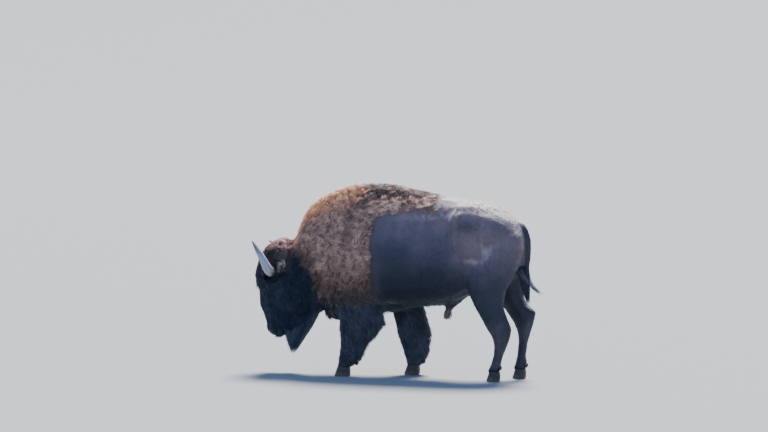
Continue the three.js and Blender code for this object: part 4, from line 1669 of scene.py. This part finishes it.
# %% Beard
SHORTEST = 0.30  # the shortest strands end after this share of the way down
BEND_AT = 0.45  # and a strand bends after this share of its own drop


def beard_mask(points):
    """The underside of the jaw and throat, near the plane that the flesh was cut at."""
    below = (points - np.array(JAW_POINT)) @ unit(np.array([JAW_OUTWARD]))[0]
    along = (points[:, 0] > JAW_FRONT - 0.005) & (points[:, 0] < THROAT + 0.03)
    return 1.0 * (below > -0.055) * along * (side_of(points) < THROAT_HALF)


beard_roots = ground.roots(beard_mask, 34500)
base = beard_roots[0]
count = len(base)
back, half = (np.interp(base[:, 2], BEARD_HEIGHTS, row) for row in BEARD_SHAPE[1:])
share = (1.1 * (base[:, 0] - JAW_FRONT) / (back - JAW_FRONT)).clip(0.06, 0.98)
out = (base[:, 1] / half).clip(-0.95, 0.95)
drop = (SHORTEST + (1.0 - SHORTEST) * rng.random(count) ** 1.2) * (base[:, 2] - BEARD_LOW[2])
tip = fall_inside(BEARD_HEIGHTS, BEARD_SHAPE, share, out, base[:, 2] - drop)
bend = fall_inside(BEARD_HEIGHTS, BEARD_SHAPE, share, out, base[:, 2] - BEND_AT * drop)
bend = 0.7 * bend + 0.3 * (base + tip) / 2 + jitter(count, (0.007, 0.012, 0.006))
tone = toward(plain(BEARD_TONE, count), step(0.25, 0.65, share), BEARD_REAR)
beard = hang(
    "beard_hair", beard_roots, bend, tip + jitter(count, (0.006, 0.010, 0.004)),
    widths_from(count, 0.004, 0.004), rings=5, tone=varied(base, tone, 0.7), root_shade=0.3,
)
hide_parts("beard")

# %% Short hair under the chin
CHIN_FROM, CHIN_TO = -1.150, -1.000
CHIN_LINE = 0.380  # the tips end just above this height
CHIN_RAGGED = 0.016  # by this much at most


def chin_mask(points):
    along = (points[:, 0] > CHIN_FROM) & (points[:, 0] < CHIN_TO)
    return 1.0 * along * (points[:, 2] < CHIN_LINE + 0.120) * (side_of(points) < 0.075)


chin_roots = ground.roots(chin_mask, 24000)
base = chin_roots[0]
count = len(base)
tip = base + jitter(count, (0.006, 0.004, 0.0)) + np.array([0.006, 0.0, 0.0])
tip[:, 2] = np.minimum(CHIN_LINE + CHIN_RAGGED * rng.random(count), base[:, 2] - 0.010)
hang(
    "chin_hair", chin_roots, (base + tip) / 2 + jitter(count, (0.004, 0.004, 0.0)), tip,
    widths_from(count, 0.003, 0.003), rings=3, tone=varied(base, pelt(base), 0.4),
)

# %% Shape of the tail's switch
TUFT_LOW, TUFT_HIGH = (np.array(corner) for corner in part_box("tail_tuft"))
SWITCH_TOP = TUFT_HIGH[2] + 0.10
WISP_ROOT = TUFT_HIGH[2] - 0.045  # below this height a lock is blown backwards
TUFT_HEIGHTS = np.linspace(TUFT_LOW[2] + 0.004, TUFT_HIGH[2] - 0.004, 14)
TUFT_SHAPE = slices_of(["tail_tuft"], TUFT_HEIGHTS)
TUFT_SHAPE[1] = np.minimum(TUFT_SHAPE[1], TUFT_LOW[0] + 0.088)  # leaves the blown lock out
TUFT_SHAPE[0] -= 0.030 * np.sin(np.linspace(0.15, 1.0, 14) * math.pi)  # bushy in front
KNEE = np.array([TUFT_LOW[0] + 0.07, 0.0, WISP_ROOT - 0.03])  # where the blown lock turns
WISP_TIP = np.array([TUFT_HIGH[0] - 0.004, 0.0, 0.792])
BLOWN_SHARE = 0.14
BLOWN_PALER = 3.5  # thin hair against the light is paler than the switch
print("switch from", round(float(TUFT_LOW[2]), 3), "to", round(float(SWITCH_TOP), 3))


# %% Tail switch
def switch_mask(points):
    near = (points[:, 0] > TUFT_LOW[0] - 0.03) & (side_of(points) < 0.08)
    return 1.0 * near * (points[:, 2] > TUFT_HIGH[2] - 0.03) * (points[:, 2] < SWITCH_TOP)


switch_roots = ground.roots(switch_mask, 42000)
base = switch_roots[0]
count = len(base)
ends = TUFT_LOW[2] + (TUFT_HIGH[2] - 0.06 - TUFT_LOW[2]) * rng.random(count) ** 1.1
share, out = rng.random(count), rng.random(count) * 2.0 - 1.0
tip = fall_inside(TUFT_HEIGHTS, TUFT_SHAPE, share, out, ends)
bend = fall_inside(TUFT_HEIGHTS, TUFT_SHAPE, share, out, np.full(count, TUFT_HIGH[2] - 0.02))
bend = 0.5 * bend + 0.5 * (base + tip) / 2 + jitter(count, (0.006, 0.006, 0.01))
blown = rng.random(count) < BLOWN_SHARE
reach = (rng.random(count) ** 0.7)[:, None]
flown = KNEE + reach * (WISP_TIP - KNEE) + jitter(count, (0.014, 0.018, 0.024))
tip = np.where(blown[:, None], flown, tip)
bend = np.where(blown[:, None], KNEE + jitter(count, (0.012, 0.012, 0.02)), bend)
tone = varied(base, plain(SWITCH, count), 0.4) * (1.0 + BLOWN_PALER * blown)[:, None]
switch_widths = widths_from(count, 0.003, 0.003)
switch = hang("tail_switch", switch_roots, bend, tip, switch_widths, rings=6, tone=tone)
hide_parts("tail_tuft")

# %% Hair round the root of each horn
COLLAR = (0.036, 0.088)  # inner and outer radius of the ring that it grows on
COLLAR_OUT = 0.092  # the longest of it reaches this far out along the horn


def horn_collar(points):
    """A ring of skin round each horn where it leaves the head."""
    found = np.zeros(len(points))
    for side, sign in SIDES.items():
        reach = np.linalg.norm((points - HORN_BASE[side])[:, ::2], axis=1)
        found += band(*COLLAR, 0.006, reach) * (np.sign(points[:, 1]) == sign)
    return found * (side_of(points) > 0.12)


collar_roots = ground.roots(horn_collar, 17000)
base = collar_roots[0]
count = len(base)
centre = np.where((base[:, 1] < 0)[:, None], HORN_BASE["left"], HORN_BASE["right"])
inward = unit((centre - base) * np.array([1.0, 0.0, 1.0]))
outward = np.sign(base[:, 1])[:, None] * np.array([0.0, 1.0, 0.0])
size = (0.55 + 0.65 * rng.random(count))[:, None]
sag = np.array([0.0, 0.0, -0.014])
bend = base + size * (0.060 * outward - 0.004 * inward)
tip = base + size * (COLLAR_OUT * outward + 0.020 * inward + sag)
hang(
    "horn_collar_hair", collar_roots, bend, tip + jitter(count, (0.007, 0.005, 0.007)),
    widths_from(count, 0.005, 0.004), rings=4, tone=varied(base, pelt(base), 0.4),
)

# %% Sheath tuft
SHEATH_LOW = np.array(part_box("sheath")[0])


def sheath_mask(points):
    low = points[:, 2] < SHEATH_LOW[2] + 0.095
    return 1.0 * low * (side_of(points) < 0.06) * (np.abs(points[:, 0] - SHEATH_LOW[0] - 0.06) < 0.10)


sheath_roots = ground.roots(sheath_mask, 30000)
base = sheath_roots[0]
count = len(base)
tip = base + np.array([0.004, 0.0, -0.040]) + jitter(count, (0.016, 0.012, 0.02))
tip[:, 2] = np.maximum(tip[:, 2], SHEATH_LOW[2] + 0.002 + 0.03 * rng.random(count))
bend = (base + tip) / 2 + jitter(count, (0.008, 0.008, 0.0))
tone = varied(base, plain(SHEATH_HAIR, count), 0.4)
hang("sheath_tuft", sheath_roots, bend, tip, np.full(count, 0.004), 3, tone, slot="short_hair")

# %% [markdown]
# ## Eyes
# A bison's eye is a dark ball with a brown iris and a wide pupil, level when the head is up. A
# clear cornea over a painted iris would look deeper from a hand's breadth away, but the eye is
# four centimetres across and dark. So one fine sphere with a slight bulge is enough, with its
# colours stored on its points, under a wet gloss.

# %% Shape and colour of the eyes
IRIS_RADIUS = 0.0105
PUPIL = (0.0065, 0.0034)  # half length and half height
HEAD_LOWERED = (0.72, 0.69)  # parts level and downwards of the pupil's long axis
BALL_INSET = 0.0004
CORNEA_BULGE = 0.0012
BALL_DARK = (0.014, 0.010, 0.009)
IRIS_BROWN = (0.026, 0.012, 0.007)
IRIS_EDGE = (0.010, 0.006, 0.004)
PUPIL_BLACK = (0.002, 0.002, 0.003)


def pupil_axis(out):
    """The long axis of the pupil, which the lowered head turns down in front."""
    level = unit(np.cross(np.array([0.0, 0.0, 1.0]), out)[None])[0]
    down = np.array([0, 0, -HEAD_LOWERED[1]]) * np.sign(level[0])
    axis = unit((level * HEAD_LOWERED[0] + down)[None])[0]
    return axis - out * (axis @ out)


def eye_colours(front, reach, pupil):
    """Dark ball, brown iris with a darker edge, and a black pupil."""
    colour = plain(BALL_DARK, len(reach))
    iris = step(IRIS_RADIUS + 0.001, IRIS_RADIUS - 0.001, reach)
    colour = toward(colour, front * iris, IRIS_BROWN)
    edge = step(IRIS_RADIUS * 0.75, IRIS_RADIUS, reach) * (reach < IRIS_RADIUS)
    colour = toward(colour, front * edge, IRIS_EDGE)
    return toward(colour, front * step(1.25, 0.8, pupil), PUPIL_BLACK)


def make_eye(side):
    deselect_all()
    bpy.ops.mesh.primitive_uv_sphere_add(
        segments=96, ring_count=64, radius=EYE_RADIUS - BALL_INSET, location=tuple(EYE[side])
    )
    ball = bpy.context.object
    ball.name = f"eyeball_{side}"
    bpy.ops.object.transform_apply(location=True)
    bpy.ops.object.shade_smooth()
    out = eye_axes(SIDES[side])[0]
    level = pupil_axis(out)
    points = read_points(ball)
    away = points - EYE[side]
    front = away @ out > 0
    a, b = away @ level, away @ np.cross(out, level)
    reach = np.hypot(a, b)
    cornea = CORNEA_BULGE * step(IRIS_RADIUS * 1.1, IRIS_RADIUS * 0.5, reach) * front
    write_points(ball, points + np.outer(cornea, out))
    pupil = (a / PUPIL[0]) ** 2 + (b / PUPIL[1]) ** 2
    paint(ball.data, eye_colours(front, reach, pupil))
    return ball


# %% Eyes
kit = Kit("wet_eye")
eye_paint = kit.finish(
    Base_Color=kit.attribute("pelt", "Color"), Roughness=0.10, Specular_IOR_Level=0.25
)
for side in SIDES:
    ball = make_eye(side)
    ball.data.materials.append(eye_paint)
    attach(ball, "root")
    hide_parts(f"eye_{side}")
print("eyes:", round(2 * EYE_RADIUS, 3), "across")

# %% [markdown]
# ## Horns
# A horn is a sheath of keratin with long fibres, with rings where it starts and a polished dark
# tip. The solid horn is copied and smoothed by subdivision. A straightened-out place is stored
# on its points, so that fibres run along the horn and rings run round it.

# %% Horn shape
HORN_CUTS = 24  # places along the horn where its middle is measured
GRAIN_WIDTH = 0.04


def make_horn(side):
    """A smoothed horn that knows how far along and round it each of its points lies."""
    horn = copy_node(f"horn_{side}")
    horn.name = f"horn_keratin_{side}"
    horn.data.materials.clear()
    add_modifier(horn, "SUBSURF", levels=3, render_levels=3)
    bpy.ops.object.shade_smooth()
    points = read_points(horn)
    along = np.linalg.norm(points - first_ring(points), axis=1)
    longest = along.max()
    cuts = np.linspace(0.0, longest, HORN_CUTS)
    middles = np.stack([points[np.abs(along - cut) < longest / 20].mean(axis=0) for cut in cuts])
    slopes = np.gradient(middles, axis=0)
    centre = np.stack([np.interp(along, cuts, row) for row in middles.T], axis=1)
    ahead = unit(np.stack([np.interp(along, cuts, row) for row in slopes.T], axis=1))
    first = unit(np.cross(ahead, np.array([0.3, 0.0, 1.0])))
    second = np.cross(ahead, first)
    away = points - centre
    angle = np.arctan2(np.sum(away * second, axis=1), np.sum(away * first, axis=1))
    grain = np.stack([np.cos(angle) * GRAIN_WIDTH, np.sin(angle) * GRAIN_WIDTH, along], axis=1)
    layer = horn.data.attributes.new("grain", "FLOAT_VECTOR", "POINT")
    layer.data.foreach_set("vector", grain.ravel())
    layer = horn.data.attributes.new("along", "FLOAT", "POINT")
    layer.data.foreach_set("value", along / longest)
    print(horn.name, "length", round(float(longest), 3), "faces", len(horn.data.polygons))
    return horn


# %% Horn finish
HORN_STOPS = [  # from the root to the tip; the pale blue of the middle is painted sky light
    (0.00, (0.26, 0.19, 0.13)),
    (0.32, (0.60, 0.48, 0.34)),
    (0.52, (0.52, 0.56, 0.68)),
    (0.74, (0.36, 0.42, 0.60)),
    (0.90, (0.16, 0.16, 0.18)),
    (1.00, (0.020, 0.020, 0.022)),
]
FIBRE_DARK = (0.07, 0.07, 0.080, 1)
kit = Kit("horn_keratin")
place = kit.attribute("along")
grain = kit.attribute("grain", "Vector")


def horn_noise(detail, scales):
    """Noise on the straightened-out horn; the scales run across, across and along it."""
    drawn = kit.node("ShaderNodeVectorMath", {"operation": "MULTIPLY"}, {0: grain, 1: scales})
    return kit.noise(1.0, detail, vector=drawn)


fibres = horn_noise(3.0, (320.0, 320.0, 22.0))
rings = horn_noise(2.0, (9.0, 9.0, 75.0))
uneven = place + (kit.noise(14.0) - 0.5) * 0.16
tone = kit.node("ShaderNodeValToRGB", {"stops": HORN_STOPS}, {"Fac": uneven})
tone = kit.mix((fibres * 3.4 - 1.15).clamp(), FIBRE_DARK, tone)
rough = (0.30 + fibres * 0.3 + (1.0 - place) * 0.15).clamp()
height = rings * (1.0 - place) * 1.2 + fibres * 0.45
horn_paint = kit.finish(Base_Color=tone, Roughness=rough, Normal=kit.bump(height, 0.6, 0.004))
print("horn painted in", len(HORN_STOPS), "tones")

# %% Horns
for side in SIDES:
    horn = make_horn(side)
    horn.data.materials.append(horn_paint)
    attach(horn, "root")
    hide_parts(f"horn_{side}")

# %% [markdown]
# ## Hooves and dewclaws
# Each foot has two hooves and, behind them, two small dewclaws. The solids give their size, so
# copies of them are remeshed finely and smoothed until edges are rounded as on a worn hoof.

# %% Hoof finish
HOOF_DARK, HOOF_PALE = (0.018, 0.016, 0.015, 1), (0.055, 0.048, 0.043, 1)
DUST = (0.20, 0.17, 0.135, 1)
DUST_PER_METRE = 22.0  # the dust thins out to nothing at 1 / 22 m above the ground
kit = Kit("hoof_horn")
above_ground = kit.node("ShaderNodeSeparateXYZ", None, {0: kit.place()}, output=2)
layers = kit.noise(1.0, 1.0, vector=kit.stretched((6.0, 6.0, 120.0)))
streaks = kit.noise(1.0, 3.0, vector=kit.stretched((190.0, 190.0, 12.0)))
dust = (1.0 - above_ground * DUST_PER_METRE + (kit.noise(40.0) - 0.5) * 1.2).clamp()
tone = kit.mix((streaks * 1.1 - 0.2).clamp(), HOOF_DARK, HOOF_PALE)
tone = kit.mix(dust * 0.6, tone, DUST)
hoof_paint = kit.finish(
    Base_Color=tone,
    Roughness=(0.45 + dust * 0.4).clamp(),
    Normal=kit.bump(layers * 0.6 + streaks * 0.25, 0.4, 0.002),
)
print("hoof painted:", hoof_paint.name)

# %% Hooves and dewclaws
HOOF_VOXEL = 0.0038
HOOF_ROUNDS = 6
CLAW_TOP, CLAW_NARROWER, CLAW_LONGER = 1.08, 0.55, 0.007
hoof_names = [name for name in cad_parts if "hoof" in name or "dewclaw" in name]


def taper(claw):
    """Draws the lower end of a dewclaw out into a blunt point."""
    points = read_points(claw)
    low, high = points.min(axis=0), points.max(axis=0)
    down = ((high[2] - points[:, 2]) / (high[2] - low[2]))[:, None]
    middle = (low + high) / 2
    scale = CLAW_TOP - CLAW_NARROWER * down**1.5
    points[:, :2] = middle[:2] + (points[:, :2] - middle[:2]) * scale
    points[:, 2] -= CLAW_LONGER * down[:, 0]
    write_points(claw, points)


for name in hoof_names:
    claw = copy_node(name)
    claw.name = f"{name}_horn"
    claw.data.materials.clear()
    add_modifier(claw, "REMESH", mode="VOXEL", voxel_size=HOOF_VOXEL)
    add_modifier(claw, "SMOOTH", factor=0.5, iterations=HOOF_ROUNDS)
    if "dewclaw" in name:
        taper(claw)
    bpy.ops.object.shade_smooth()
    claw.data.materials.append(hoof_paint)
    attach(claw, "root")
    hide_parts(name)
print("hooves and dewclaws:", len(hoof_names))
